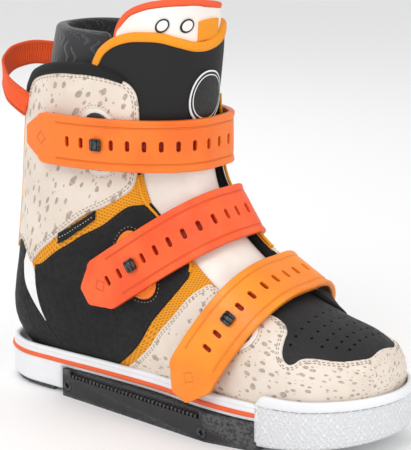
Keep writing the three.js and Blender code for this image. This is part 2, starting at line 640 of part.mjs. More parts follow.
for (const [name, strap] of Object.entries(straps)) {
  const { normal, pointAt } = strapFrame(strap);
  // The centre line: along the shell from the anchor's free end to the hook, then the tail on a slight curve.
  const steps = 26;
  const overAnchor = strap.anchor + 12;
  const path = range(steps + 1).map((i) => pointAt(lerp(overAnchor, strap.hook, i / steps), strapStandoff));
  const heading = path[steps].clone().sub(path[steps - 1]).normalize();
  const tailSteps = 5;
  let turn = 0;
  for (let i = 0; i < tailSteps; i++) {
    turn = (strap.bend * (i + 0.5)) / tailSteps;
    const way = heading.clone().applyAxisAngle(normal, -turn);
    path.push(path[path.length - 1].clone().addScaledVector(way, strap.tail / tailSteps));
  }
  const curve = new THREE.CatmullRomCurve3(path, false, "centripetal");
  curve.arcLengthDivisions = 400;
  const total = curve.getLength();
  const frameAt = (length) => {
    const u = Math.min(1, Math.max(0, length / total));
    const point = curve.getPointAt(u);
    const along = curve.getTangentAt(u);
    const out = new THREE.Vector3().crossVectors(normal, along).normalize();
    return { point, along, out };
  };
  const nearest = (target) => {
    let best = 0;
    for (let i = 0; i <= 400; i++) {
      const here = curve.getPointAt(i / 400).distanceTo(target);
      if (here < curve.getPointAt(best / 400).distanceTo(target)) best = i;
    }
    return (best / 400) * total;
  };
  const anchorLength = nearest(pointAt(strap.anchor, strapStandoff));
  const hingeLength = nearest(pointAt(strap.hinge, strapStandoff));
  const hookLength = nearest(pointAt(strap.hook, strapStandoff));

  const band = (from, to, count, grow = 0) => {
    const rings = range(count + 1).map((i) => {
      const length = lerp(from, to, i / count);
      const { point, out } = frameAt(length);
      // Both ends narrow to a blunt point.
      const toEnd = Math.min(length, total - length);
      const half = (strap.width / 2) * lerp(0.36, 1, clamp01(toEnd / 17));
      const corner = (w, t) => {
        return point.clone().addScaledVector(normal, w * (half + grow)).addScaledVector(out, t * (strapThickness / 2 + grow));
      };
      return [corner(-1, -1), corner(1, -1), corner(1, 1), corner(-1, 1)];
    });
    return loft(rings);
  };
  const orientedBox = (length, sizeAlong, sizeAcross, low, high) => {
    const { point, along, out } = frameAt(length);
    const box = new THREE.BoxGeometry(sizeAcross, sizeAlong, high - low);
    box.applyMatrix4(new THREE.Matrix4().makeBasis(normal, along, out));
    const place = point.clone().addScaledVector(out, (low + high) / 2);
    return box.translate(place.x, place.y, place.z);
  };
  // Slots at an even pitch, one of them on each hook.
  let bandSolid = band(0, hingeLength - 0.2, 18);
  let tailSolid = band(hingeLength + 0.2, total, 14);
  const cutSlot = (length) => {
    const slot = solid(orientedBox(length, slotSize.length, slotSize.width, -4, 4));
    if (length < hingeLength) bandSolid = bandSolid.subtract(slot);
    else tailSolid = tailSolid.subtract(slot);
  };
  const slotClear = (length) => Math.abs(length - hingeLength) > slotSize.length;
  for (const i of range(40)) {
    const length = hookLength + (2 - i) * slotPitch;
    if (length > anchorLength + slotPitch / 2 && slotClear(length)) cutSlot(length);
  }
  cutSlot(anchorLength);
  add(`${name}_strap`, bandSolid, strap.colour, 0.55);
  add(`${name}_strap_tail`, tailSolid, strap.colour, 0.55);

  const strapRoom = band(0, total, 30, 2 * fit);
  for (const [side, length] of Object.entries({ lateral: hookLength, medial: anchorLength })) {
    const { point, along, out } = frameAt(length);
    const pill = new THREE.Shape();
    const straight = (hookPlate.length - hookPlate.width) / 2;
    pill.absarc(straight, 0, hookPlate.width / 2, -Math.PI / 2, Math.PI / 2, false);
    pill.absarc(-straight, 0, hookPlate.width / 2, Math.PI / 2, 1.5 * Math.PI, false);
    const cutter = new THREE.ExtrudeGeometry(pill, { depth: 4 * strapStandoff, bevelEnabled: false, curveSegments: 5 });
    cutter.applyMatrix4(new THREE.Matrix4().makeBasis(normal, along, out));
    const seat = point.clone().addScaledVector(out, -2 * strapStandoff);
    cutter.translate(seat.x, seat.y, seat.z);
    const plateColour = name === "middle" ? "orange" : "graphite";
    add(`${name}_hook_plate_${side}`, underStrap.intersect(solid(cutter)).subtract(strapRoom), plateColour, 0.5);
    const half = strapThickness / 2;
    const post = orientedBox(length - postShift, postSize.length, postSize.width, -half - fit / 2, half + postSize.proud);
    add(`${name}_hook_${side}`, solid(post), "steel", 0.35, 0.6);
  }
}

// ---------- heel pull loop and small trim ----------
const loopPath = [
  [-121, -34, 196], [-140, -31, 204], [-155, -20, 214], [-161, -3, 221], [-156, 13, 224], [-141, 25, 222], [-124, 33, 216],
].map(([x, y, z]) => new THREE.Vector3(x * lengthScale, y * widthScale, z));
const loopCurve = new THREE.CatmullRomCurve3(loopPath, false, "centripetal");
const loopSteps = 20;
const pullLoop = loft(
  range(loopSteps + 1).map((i) => {
    const point = loopCurve.getPointAt(i / loopSteps);
    const along = loopCurve.getTangentAt(i / loopSteps);
    const up = new THREE.Vector3(0, 0, 1).addScaledVector(along, -along.z).normalize();
    const out = new THREE.Vector3().crossVectors(along, up);
    const corner = (w, t) => {
      return point.clone().addScaledVector(up, (w * loopWidth) / 2).addScaledVector(out, (t * loopThickness) / 2);
    };
    return [corner(-1, -1), corner(1, -1), corner(1, 1), corner(-1, 1)];
  }),
);
add("pull_loop", pullLoop, "coral", 0.9);

// A badge on the shin flap and a folded tab on the liner's tongue.
const badgeDepth = tongueDepth - fit;
const badgeThickness = 1.2;
const badgeAngle = 30; // reaches this many degrees each side of the front, where the flap has facet edges
add("badge", strip(12.3, 13.4, () => -badgeAngle, () => badgeAngle, badgeDepth - badgeThickness, badgeDepth, 4), "white", 0.6);

boot.position.z = railDrop;
export default boot;
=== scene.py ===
# The boot's look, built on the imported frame: +X points to the toe, -Y to the outer side, +Z up.
# Shapes are worked out in millimetres and turned into metres when their meshes are made.
import json
import math

import bmesh
import bpy
import numpy as np
from mathutils import Matrix, Vector
from mathutils.geometry import delaunay_2d_cdt


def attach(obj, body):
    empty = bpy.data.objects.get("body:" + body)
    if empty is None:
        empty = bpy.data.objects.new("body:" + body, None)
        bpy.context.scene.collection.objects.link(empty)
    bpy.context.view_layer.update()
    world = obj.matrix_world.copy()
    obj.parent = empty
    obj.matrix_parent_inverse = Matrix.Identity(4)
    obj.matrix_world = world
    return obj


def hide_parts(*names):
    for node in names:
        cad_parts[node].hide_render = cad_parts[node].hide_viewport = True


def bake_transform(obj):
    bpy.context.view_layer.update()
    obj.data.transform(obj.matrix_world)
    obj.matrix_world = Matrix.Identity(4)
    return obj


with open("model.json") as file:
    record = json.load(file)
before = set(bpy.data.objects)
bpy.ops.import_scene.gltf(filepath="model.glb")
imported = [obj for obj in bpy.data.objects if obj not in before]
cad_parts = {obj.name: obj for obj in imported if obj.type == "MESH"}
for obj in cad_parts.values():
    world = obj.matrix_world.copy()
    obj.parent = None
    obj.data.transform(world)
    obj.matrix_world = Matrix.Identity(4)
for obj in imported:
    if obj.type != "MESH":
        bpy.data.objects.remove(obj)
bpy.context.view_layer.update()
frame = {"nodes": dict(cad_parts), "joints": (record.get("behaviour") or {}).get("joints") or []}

MM = 0.001
LIFT = 3.5  # mm from the underside of the rails to the underside of the sole


# ---------- camera ----------
AZIMUTH, ELEVATION = math.radians(36.99), math.radians(13.29)
CAMERA_DISTANCE = 1177.81
CAMERA_TARGET = (-0.47, 9.53, 120.0)  # measured from the underside of the sole
FOCAL_LENGTH, SENSOR_WIDTH = 140.9472, 36


def add_object(name, data):
    obj = bpy.data.objects.new(name, data)
    bpy.context.collection.objects.link(obj)
    return obj


def make_camera():
    back = Vector((math.sin(AZIMUTH) * math.cos(ELEVATION), -math.cos(AZIMUTH) * math.cos(ELEVATION),
                   math.sin(ELEVATION)))
    data = bpy.data.cameras.new("camera")
    data.sensor_width = SENSOR_WIDTH
    data.lens = FOCAL_LENGTH
    data.clip_start, data.clip_end = 0.05, 20
    obj = add_object("camera", data)
    obj.location = (Vector(CAMERA_TARGET) + Vector((0, 0, LIFT)) + back * CAMERA_DISTANCE) * MM
    obj.rotation_euler = back.to_track_quat("Z", "Y").to_euler()
    bpy.context.scene.camera = obj


make_camera()

# ---------- the boot's surface, as in the CAD model ----------
# One row for each station from toe to collar: the front point's x and z, the back point's x and z, the half
# widths (lateral, medial), how square the front and back are, and where the widest point lies between them.
ROWS = np.array([
    (151, 46, 151, 34, 6, 7, 2, 2, .5), (148.5, 56, 148.5, 24, 17, 21, 2.2, 2.2, .45),
    (142, 65, 142, 16, 30, 35, 2.3, 2.5, .42), (126, 73, 126, 12, 43, 44, 2.2, 2.8, .42),
    (104, 79, 104, 10.5, 50, 47, 2.1, 3, .42), (80, 88, 78, 9.5, 51, 47, 2.1, 3.2, .4),
    (60, 99, 48, 9, 48.5, 45.5, 2.1, 3.4, .38), (41, 112, 14, 9, 44.5, 43, 2.15, 3.6, .38),
    (25, 128, -25, 9, 41, 40, 2.2, 3.8, .4), (14, 145, -68, 9, 39, 38.5, 2.3, 3.8, .42),
    (9, 162, -115, 10, 38.5, 38, 2.3, 3.6, .45), (8, 178, -150, 36, 40, 39, 2.3, 3, .5),
    (9, 194, -148, 85, 43, 42, 2.3, 2.4, .5), (11, 210, -142, 130, 46, 44, 2.3, 2.3, .5),
    (13, 227, -138, 172, 47, 45, 2.3, 2.3, .5), (15, 244, -134, 206, 47, 45, 2.3, 2.3, .5),
    (17, 261, -131, 232, 46, 44, 2.3, 2.3, .5), (19, 278, -128, 258, 45, 43, 2.3, 2.3, .5),
])
LAST = len(ROWS) - 1


def smooth(a, b, v):
    t = np.clip((np.asarray(v, float) - a) / (b - a), 0, 1)
    return t * t * (3 - 2 * t)


def unit(vectors):
    return vectors / (np.linalg.norm(vectors, axis=-1, keepdims=True) + 1e-12)


def lengths(points):
    """The distance along a run of points, at each of them."""
    return np.concatenate([[0], np.cumsum(np.linalg.norm(np.diff(points, axis=0), axis=1))])


def sampled(values, distances, at):
    """Rows of values that are known at the distances, read at other ones."""
    return np.stack([np.interp(at, distances, column) for column in values.T], -1)


def turns(count):
    """Evenly spaced angles round a circle."""
    return np.linspace(0, 2 * math.pi, count + 1)[:-1]


def softened(curve, width):
    """The curve smoothed over width samples, with its ends held."""
    half = width // 2
    kernel = np.hanning(width) / np.hanning(width).sum()
    padded = np.concatenate([2 * curve[:1] - curve[half:0:-1], curve,
                             2 * curve[-1:] - curve[-2:-2 - half:-1]])
    return np.stack([np.convolve(column, kernel, "valid") for column in padded.T], 1)


def section(s):
    s = np.clip(s, 0, LAST)
    i = np.minimum(LAST - 1, np.floor(s).astype(int))
    f = (s - i)[:, None]
    p1, p2 = ROWS[i], ROWS[i + 1]
    p0 = np.where((i > 0)[:, None], ROWS[np.maximum(i - 1, 0)], 2 * p1 - p2)
    p3 = np.where((i < LAST - 1)[:, None], ROWS[np.minimum(i + 2, LAST)], 2 * p2 - p1)
    return 0.5 * (2 * p1 + (p2 - p0) * f + (2 * p0 - 5 * p1 + 4 * p2 - p3) * f * f
                  + (3 * p1 - p0 - 3 * p2 + p3) * f ** 3)


def surface(s, a, depth=0.0):
    """Points at stations s, angles a (degrees, negative on the lateral side) and depths below the surface."""
    s, a, depth = np.broadcast_arrays(*(np.atleast_1d(np.asarray(v, float)) for v in (s, a, depth)))
    fx, fz, bx, bz, lat, med, sf, sb, w = section(s.ravel()).T
    a, depth = a.ravel(), depth.ravel()
    cx, cz = bx + (fx - bx) * w, bz + (fz - bz) * w
    c, q = np.cos(np.radians(a)), np.sin(np.radians(a))
    front = c >= 0
    ex, ez = np.where(front, fx - cx, bx - cx), np.where(front, fz - cz, bz - cz)
    reach = np.hypot(ex, ez)
    power = 2 / np.where(front, sf, sb)
    r = np.maximum(reach - depth, 0.1) * np.abs(c) ** power
    y = np.sign(q) * np.maximum(np.where(q < 0, lat, med) - depth, 0.1) * np.abs(q) ** power
    tip = depth * np.maximum(0, 1 - s.ravel() / 4)
    return np.stack([cx + ex / reach * r - tip, y, cz + ez / reach * r + LIFT], 1)


def wrapped(a):
    return (np.asarray(a, float) + 180) % 360 - 180


def shell_lift(s, a):
    a = wrapped(a)
    along = smooth(4, 6, s) * (1 - smooth(11, 13.5, s))
    return np.where(a <= 0, 0, 7 * along * smooth(5, 30, a) * (1 - smooth(55, 90, a)))


def shell(s, a, depth=0.0):
    """The surface with its raised medial lace edge."""
    s, a, depth = np.broadcast_arrays(*(np.atleast_1d(np.asarray(v, float)) for v in (s, a, depth)))
    return surface(s, a, depth - shell_lift(s, a))


# ---------- curves in the surface's own coordinates ----------
KU, KV = 14.0, 0.8  # mm for one station and for one degree, about


def spline(points, closed, step, scale=(KU, KV)):
    """A curve through (u, v) points, sampled every step mm; a point with a third value is a corner."""
    pts = [np.array(p[:2], float) * scale for p in points]
    corner = [len(p) > 2 for p in points]
    n = len(pts)
    out = []
    for i in range(n if closed else n - 1):
        p1, p2 = pts[i], pts[(i + 1) % n]
        p0 = 2 * p1 - p2 if corner[i] or (not closed and i == 0) else pts[i - 1]
        p3 = 2 * p2 - p1 if corner[(i + 1) % n] or (not closed and i == n - 2) else pts[(i + 2) % n]
        d = [max(np.linalg.norm(b - a), 1e-6) ** 0.5 for a, b in ((p0, p1), (p1, p2), (p2, p3))]
        m1 = ((p1 - p0) / d[0] - (p2 - p0) / (d[0] + d[1]) + (p2 - p1) / d[1]) * d[1]
        m2 = ((p2 - p1) / d[1] - (p3 - p1) / (d[1] + d[2]) + (p3 - p2) / d[2]) * d[1]
        count = max(1, int(round(np.linalg.norm(p2 - p1) / step)))
        for k in range(count):
            t = k / count
            out.append((2 * t ** 3 - 3 * t ** 2 + 1) * p1 + (t ** 3 - 2 * t ** 2 + t) * m1
                       + (-2 * t ** 3 + 3 * t ** 2) * p2 + (t ** 3 - t ** 2) * m2)
    if not closed:
        out.append(pts[-1])
    return np.array(out) / scale


def slopes(curve, place):
    """How the surface's points move with u and with v, along the curve."""
    u, v = curve.T
    e = 0.01
    return [(place(u + du, v + dv, 0) - place(u - du, v - dv, 0)) / (2 * e) for du, dv in ((e, 0), (0, e))]


def moved(curve, place, distance, closed=True):
    """The curve moved sideways on the surface by distance mm."""
    pu, pv = slopes(curve, place)
    d = np.roll(curve, -1, 0) - np.roll(curve, 1, 0) if closed else np.gradient(curve, axis=0)
    side = np.cross(unit(np.cross(pu, pv)), unit(pu * d[:, :1] + pv * d[:, 1:])) * distance
    uu, uv, vv = (pu * pu).sum(1), (pu * pv).sum(1), (pv * pv).sum(1)
    bu, bv = (side * pu).sum(1), (side * pv).sum(1)
    det = uu * vv - uv * uv + 1e-12
    return curve + np.stack([(bu * vv - bv * uv) / det, (bv * uu - bu * uv) / det], 1)


def area2(curve):
    x, y = curve.T
    return float(np.sum(x * np.roll(y, -1) - np.roll(x, -1) * y))


def inside(points, loop):
    x, y = points.T
    result = np.zeros(len(points), bool)
    for (x1, y1), (x2, y2) in zip(loop, np.roll(loop, -1, 0)):
        cross = (y1 > y) != (y2 > y)
        with np.errstate(divide="ignore", invalid="ignore"):
            result ^= cross & (x < (x2 - x1) * (y - y1) / (y2 - y1) + x1)
    return result


def far_from(points, loop, gap):
    keep = np.ones(len(points), bool)
    for p, q in zip(loop, np.roll(loop, -1, 0)):
        d = q - p
        t = np.clip(((points - p) @ d) / (d @ d + 1e-12), 0, 1)
        keep &= np.linalg.norm(points - p - t[:, None] * d, axis=1) > gap
    return keep


# ---------- meshes ----------
def add_mesh(name, mesh, bm, material):
    """Adds the finished mesh as a smooth object, with its faces turned outwards."""
    bmesh.ops.recalc_face_normals(bm, faces=bm.faces)
    bm.to_mesh(mesh)
    bm.free()
    mesh.shade_smooth()
    mesh.materials.append(MATERIALS[material])
    return add_object(name, mesh)


def make_object(name, verts, faces, material, uvs=None):
    mesh = bpy.data.meshes.new(name)
    faces = [tuple(int(i) for i in face) for face in faces]
    mesh.from_pydata([tuple(v) for v in np.asarray(verts) * MM], [], faces)
    if uvs is not None:
        layer = mesh.uv_layers.new(name="uv")
        index = np.empty(len(mesh.loops), np.int32)
        mesh.loops.foreach_get("vertex_index", index)
        layer.data.foreach_set("uv", np.asarray(uvs, np.float32)[index].ravel())
    bm = bmesh.new()
    bm.from_mesh(mesh)
    return add_mesh(name, mesh, bm, material)


def slab(name, outline, place, top, bottom, material, holes=(), spacing=4.0, roll=0.8, scale=(KU, KV),
         raised=None):
    """A plate with rolled edges: outline and holes are curves in (u, v), place maps (u, v, height) to mm."""
    loops = [outline if area2(outline * scale) > 0 else outline[::-1]]
    loops += [h if area2(h * scale) < 0 else h[::-1] for h in holes]
    rolls = [roll] + [min(roll, 0.35)] * len(holes)
    rim = [moved(loop, place, r) for loop, r in zip(loops, rolls)]
    # Where moved() took the outline outwards, or a hole inwards, it goes the other way.
    for k, (loop, r) in enumerate(zip(loops, rolls)):
        if (abs(area2(rim[k] * scale)) > abs(area2(loop * scale))) == (k == 0):
            rim[k] = moved(loop, place, -r)
    low, high = (loops[0] * scale).min(0), (loops[0] * scale).max(0)
    gx, gy = np.meshgrid(np.arange(low[0], high[0], spacing), np.arange(low[1], high[1], spacing))
    gx = gx + (np.arange(len(gx)) % 2)[:, None] * spacing / 2
    grid = np.stack([gx.ravel(), gy.ravel()], 1)
    keep = inside(grid, rim[0] * scale) & far_from(grid, rim[0] * scale, spacing * 0.55)
    for hole in rim[1:]:
        keep &= ~inside(grid, hole * scale) & far_from(grid, hole * scale, min(spacing * 0.55, 1.0))
    grid = grid[keep] / scale
    flat, edges, starts = [], [], []
    for loop in rim:
        starts.append(len(flat))
        count = len(loop)
        edges += [(starts[-1] + i, starts[-1] + (i + 1) % count) for i in range(count)]
        flat += list(loop)
    flat = np.array(flat + list(grid))
    made, _, tris, origin, _, _ = delaunay_2d_cdt([Vector(p) for p in flat * scale], edges, [], 2, 1e-5)
    uv = np.array([tuple(p) for p in made]) / scale
    new_index = {}
    for i, olds in enumerate(origin):
        for old in olds:
            new_index[old] = i
    n = len(uv)
    tris = np.array(tris)
    centres = uv[tris].mean(1) * scale
    for hole in rim[1:]:
        outside = ~inside(centres, hole * scale)
        tris, centres = tris[outside], centres[outside]
    tris = tris.tolist()
    extra = raised(uv[:, 0], uv[:, 1]) if raised else 0.0
    verts = [place(uv[:, 0], uv[:, 1], top + extra), place(uv[:, 0], uv[:, 1], bottom)]
    uvs = [uv * scale, uv * scale]
    faces = [tuple(t) for t in tris] + [tuple(n + i for i in reversed(t)) for t in tris]
    base = 2 * n
    for loop, ring, start, r in zip(loops, rim, starts, rolls):
        count = len(loop)
        inner = [new_index[start + i] for i in range(count)]
        rings = [inner]
        lift = raised(ring[:, 0], ring[:, 1]) if raised else 0.0
        rolled = [(share, top + lift - r * drop) for share, drop in ((0.35, 0.08), (0.8, 0.4), (1.0, 1.0))]
        for share, height in rolled + [(1.0, bottom + min(0.3, r))]:
            edge = ring + (loop - ring) * share
            verts.append(place(edge[:, 0], edge[:, 1], height))
            uvs.append(edge * scale)
            rings.append(list(range(base, base + count)))
            base += count
        rings.append([n + i for i in inner])
        for one, two in zip(rings, rings[1:]):
            faces += [(one[i], one[(i + 1) % count], two[(i + 1) % count], two[i]) for i in range(count)]
    return make_object(name, np.concatenate(verts), faces, material, np.concatenate(uvs))


def loft(name, rings, material, closed=True, along=None, rise=None):
    """Closed rings stacked and capped, or open ones joined round into a tube with capped ends."""
    count, m = len(rings[0]), len(rings)
    along = lengths(rings[0]) if along is None else along
    rise = lengths(np.array([ring[0] for ring in rings])) if rise is None else rise
    uvs = np.concatenate([np.stack([along, np.full(count, height)], 1) for height in rise])
    faces = []
    for k in range(m - 1 if closed else m):
        one, two = k * count, (k + 1) % m * count
        for i in range(count if closed else count - 1):
            j = (i + 1) % count
            faces.append((one + i, one + j, two + j, two + i))
    if closed:
        faces += [tuple(range(count)), tuple((m - 1) * count + i for i in reversed(range(count)))]
    else:
        faces += [tuple(k * count for k in range(m)), tuple((k + 1) * count - 1 for k in reversed(range(m)))]
    return make_object(name, np.concatenate(rings), faces, material, uvs)


def ribbon(name, path, sides, section_points, material):
    """A closed tube: at each path point, the section's (across, up) offsets along the two sides."""
    across, up = sides
    rings = [path + across * x + up * z for x, z in section_points]
    return loft(name, rings, material, closed=False, along=lengths(path), rise=np.arange(len(rings)) * 1.5)


def frames_on(curve, place, height):
    """Points on the surface over a curve, with the directions along it, across it and outwards."""
    p = place(*curve.T, height)
    pu, pv = slopes(curve, place)
    out, along = unit(np.cross(pv, pu)), unit(np.gradient(p, axis=0))
    return p, along, np.cross(out, along), out


def piping(name, curve, place, radius):
    """A round yellow cord laid on the surface."""
    p, _, side, out = frames_on(curve, place, 0)
    circle = [(radius * math.cos(t), radius * math.sin(t)) for t in turns(8)]
    return ribbon(name, p, (side, out), circle, "piping")


def stitches(name, curves, place, height, material, length=2.3, gap=1.2, width=0.34, rise=0.16):
    """A row of short thread stitches along each curve."""
    verts, faces = [], []
    for curve in curves:
        p, along, side, out = frames_on(np.asarray(curve), place, height)
        distance = lengths(p)
        for start in np.arange(0.5, distance[-1] - length, length + gap):
            at, t, sd, o = (sampled(values, distance, start + length / 2)
                            for values in (p, along, side, out))
            base = len(verts)
            for x, k in ((-0.5, 0.25), (-0.34, 1), (0.34, 1), (0.5, 0.25)):
                for y, z in ((-1, -0.6), (1, -0.6), (0.75, 0.7), (0, 1), (-0.75, 0.7)):
                    verts.append(at + t * x * length + sd * y * width * k + o * z * rise * k)
            for r in range(3):
                for q in range(5):
                    one, two = base + r * 5 + q, base + r * 5 + (q + 1) % 5
                    faces.append((one, two, two + 5, one + 5))
            faces += [tuple(base + q for q in range(5)), tuple(base + 15 + q for q in reversed(range(5)))]
    return make_object(name, np.array(verts), faces, material)


# ---------- materials ----------
def linear(hex_colour):
    values = [int(hex_colour[i:i + 2], 16) / 255 for i in (0, 2, 4)]
    return tuple(v / 12.92 if v <= 0.04045 else ((v + 0.055) / 1.055) ** 2.4 for v in values) + (1,)


class Maker:
    """A material's node tree, built a line at a time."""

    def __init__(self, name, roughness=0.6, **settings):
        self.material = bpy.data.materials.new(name)
        self.material.use_nodes = True
        self.tree = self.material.node_tree
        self.shader = self.tree.nodes["Principled BSDF"]
        self.shader.inputs["Roughness"].default_value = roughness
        for key, value in settings.items():
            self.shader.inputs[key.replace("_", " ")].default_value = value
        self.normal = None

    def feed(self, socket, value):
        """Links another node's output to the socket, or sets it to a plain value."""
        if hasattr(value, "is_output"):
            self.tree.links.new(value, socket)
        else:
            socket.default_value = value

    def node(self, kind, inputs=None, **settings):
        made = self.tree.nodes.new(kind)
        for key, value in settings.items():
            setattr(made, key, value)
        for key, value in (inputs or {}).items():
            self.feed(made.inputs[key], value)
        return made

    def coords(self):
        return self.node("ShaderNodeTexCoord").outputs["Object"]

    def uv(self):
        return self.node("ShaderNodeUVMap", uv_map="uv").outputs["UV"]

    def uv_parts(self):
        return self.node("ShaderNodeSeparateXYZ", {0: self.uv()}).outputs[:2]

    def math(self, operation, a, b=0.0):
        return self.node("ShaderNodeMath", {0: a, 1: b}, operation=operation).outputs[0]

    def times(self, a, b):
        return self.math("MULTIPLY", a, b)

    def noise(self, scale, detail=4.0):
        inputs = {"Vector": self.coords(), "Scale": scale, "Detail": detail}
        return self.node("ShaderNodeTexNoise", inputs).outputs["Fac"]

    def step(self, value, low, high, out_low=0.0, out_high=1.0):
        inputs = {"Value": value, "From Min": low, "From Max": high, "To Min": out_low, "To Max": out_high}
        return self.node("ShaderNodeMapRange", inputs, interpolation_type="SMOOTHSTEP").outputs["Result"]

    def mix(self, factor, one, two):
        return self.node("ShaderNodeMix", {0: factor, 6: one, 7: two}, data_type="RGBA").outputs[2]

    def colour(self, value):
        self.feed(self.shader.inputs["Base Color"], value)

    def colour_so_far(self):
        return self.shader.inputs["Base Color"].links[0].from_socket

    def rough(self, value):
        self.feed(self.shader.inputs["Roughness"], value)

    def bump(self, height, distance):
        """Adds a bump of that many millimetres, over the bumps there are."""
        made = self.node("ShaderNodeBump", {"Height": height, "Distance": distance * MM, "Strength": 1.0})
        if self.normal:
            self.feed(made.inputs["Normal"], self.normal)
        self.normal = made.outputs["Normal"]
        self.feed(self.shader.inputs["Normal"], self.normal)

    def grime(self, one, two, scale=60.0):
        """Slow colour variation between two close colours."""
        return self.mix(self.step(self.noise(scale, 3), 0.35, 0.65), one, two)


def leather(name, colour, dark, roughness=0.5, grain=0.05, **settings):
    m = Maker(name, roughness, **settings)
    m.colour(m.grime(linear(colour), linear(dark), 45))
    m.rough(m.step(m.noise(300, 5), 0.3, 0.7, roughness - 0.06, roughness + 0.1))
    cells = m.node("ShaderNodeTexVoronoi", {"Vector": m.coords(), "Scale": 900.0},
                   feature="DISTANCE_TO_EDGE")
    m.bump(m.step(cells.outputs["Distance"], 0.0, 0.25), grain)
    m.bump(m.noise(120, 4), 0.25)
    return m


def speckled(name):
    """Cream coated leather with soft brown dots of several sizes."""
    m = leather(name, "E6DACD", "DFD1C2", 0.5, 0.03, Coat_Weight=0.12, Coat_Roughness=0.35)
    shake = m.node("ShaderNodeTexNoise", {"Vector": m.coords(), "Scale": 260.0}).outputs["Color"]
    wobble = m.node("ShaderNodeVectorMath", {0: shake, 1: (1.1, 1.1, 0), 2: m.uv()},
                    operation="MULTIPLY_ADD").outputs[0]
    colour = m.colour_so_far()
    # Each layer of dots: its scale, their least and greatest radius, the share shown, and the colour.
    for scale, low, high, share, tone in ((0.185, 0.15, 0.27, 0.9, "A39284"),
                                          (0.31, 0.1, 0.2, 0.4, "B0A093")):
        dots = m.node("ShaderNodeTexVoronoi", {"Vector": wobble, "Scale": scale, "Randomness": 0.8},
                      voronoi_dimensions="2D")
        split = m.node("ShaderNodeSeparateColor", {0: dots.outputs["Color"]})
        size = m.step(split.outputs[1], 0, 1, low, high)
        disc = m.step(m.math("SUBTRACT", size, dots.outputs["Distance"]), 0.0, 0.05)
        shown = m.math("LESS_THAN", split.outputs[0], share)
        fade = m.step(m.noise(500, 3), 0.3, 0.7, 0.62, 1.0)
        amount = m.times(m.times(disc, shown), fade)
        colour = m.mix(amount, colour, linear(tone))
    m.colour(colour)
    return m.material


def woven(name, colour, dark, scale=0.9, roughness=0.85, height=0.18, holes=0.0, hole_shade_colour="5A3A08"):
    """Woven or knitted cloth, with threads laid out in the uv map's mm; holes opens it into a mesh, whose
    openings are painted darker as shade.
    """
    m = Maker(name, roughness, Sheen_Weight=0.04, Sheen_Roughness=0.4)
    x, y = (m.times(part, 2 * math.pi * scale) for part in m.uv_parts())
    weave = m.times(m.math("SINE", x), m.math("SINE", y))
    threads = m.step(weave, -1, 1)
    fibre = m.noise(900, 3)
    tone = m.mix(m.step(m.math("ADD", threads, m.times(fibre, 0.5)), 0.2, 1.3), linear(dark),
                 linear(colour))
    if holes:
        row, column = (m.math("ABSOLUTE", m.math("SINE", m.times(w, 0.5))) for w in (x, y))
        gaps = m.step(m.times(row, column), 1 - holes, 1 - holes * 0.4)
        # painted shade in the mesh's openings
        tone = m.mix(gaps, tone, linear(hole_shade_colour))
        m.bump(m.math("SUBTRACT", 1.0, gaps), 0.4)
    m.colour(tone)
    m.bump(threads, height)
    m.bump(fibre, 0.08)
    return m.material


def rubber(name, colour, dark, roughness=0.42, subsurface=0.0, **settings):
    m = Maker(name, roughness, **settings)
    if subsurface:
        m.shader.inputs["Subsurface Weight"].default_value = subsurface
        m.shader.inputs["Subsurface Scale"].default_value = 0.002
    m.colour(m.grime(linear(colour), linear(dark), 25))
    m.rough(m.step(m.noise(420, 6), 0.3, 0.7, roughness - 0.07, roughness + 0.09))
    m.bump(m.noise(1500, 3), 0.03)
    m.bump(m.noise(60, 3), 0.2)
    return m


def strap_rubber(name, colour, dark, half_width, length):
    """Moulded rubber with a groove inside each edge, and a plain sunk diamond near the tail's tip; both are
    painted darker as shade.
    """
    m = rubber(name, colour, dark, 0.4, 0.06)
    u, v = m.uv_parts()
    v = m.math("ABSOLUTE", v)
    line = m.step(m.math("ABSOLUTE", m.math("SUBTRACT", v, half_width - 5.2)), 0.25, 0.75)
    ends = m.times(m.step(u, 22, 23), m.math("SUBTRACT", 1.0, m.step(u, length - 31, length - 30)))
    groove = m.math("SUBTRACT", 1.0, m.times(m.math("SUBTRACT", 1.0, line), ends))
    m.bump(groove, 0.55)
    diamond = m.math("ADD", m.math("ABSOLUTE", m.math("SUBTRACT", u, length - 17)), v)
    ring = m.step(m.math("ABSOLUTE", m.math("SUBTRACT", diamond, 4.2)), 0.35, 0.8)
    m.bump(ring, 0.4)
    # painted shade: the groove and the diamond's outline take the darker colour
    m.colour(m.mix(m.math("MINIMUM", groove, ring), linear(dark), m.colour_so_far()))
    return m.material


def bumper_rubber(name):
    """White rubber pressed with a fine crossed texture, its raised lines painted lighter as highlight."""
    m = rubber(name, "E6E7E9", "DDDEE1", 0.5, 0.04)
    crossed = None
    for angle in (0.72, -0.72):
        turned = m.node("ShaderNodeMapping", {"Vector": m.uv(), "Rotation": (0, 0, angle)}).outputs[0]
        wave = m.node("ShaderNodeTexWave", {"Vector": turned, "Scale": 0.11, "Distortion": 1.6,
                                            "Detail": 2.0, "Detail Scale": 1.5}).outputs["Fac"]
        crossed = wave if crossed is None else m.math("MAXIMUM", crossed, wave)
    broken = m.times(m.step(crossed, 0.55, 0.95), m.step(m.noise(420, 3), 0.35, 0.6))
    m.bump(broken, 0.5)
    # painted highlight: the raised crossed lines are lighter
    m.colour(m.mix(broken, linear("D9DADD"), linear("F1F2F3")))
    return m.material


def hard_plastic(name, colour, dark, roughness=0.45):
    m = Maker(name, roughness)
    m.colour(m.grime(linear(colour), linear(dark), 80))
    m.rough(m.step(m.noise(700, 5), 0.3, 0.7, roughness - 0.08, roughness + 0.12))
    worn = m.step(m.node("ShaderNodeNewGeometry").outputs["Pointiness"], 0.52, 0.6)
    worn = m.times(worn, m.step(m.noise(500, 4), 0.35, 0.6, 0.0, 0.55))
    m.colour(m.mix(worn, m.colour_so_far(), linear("6A6A6C")))
    m.bump(m.noise(1600, 3), 0.04)
    return m.material


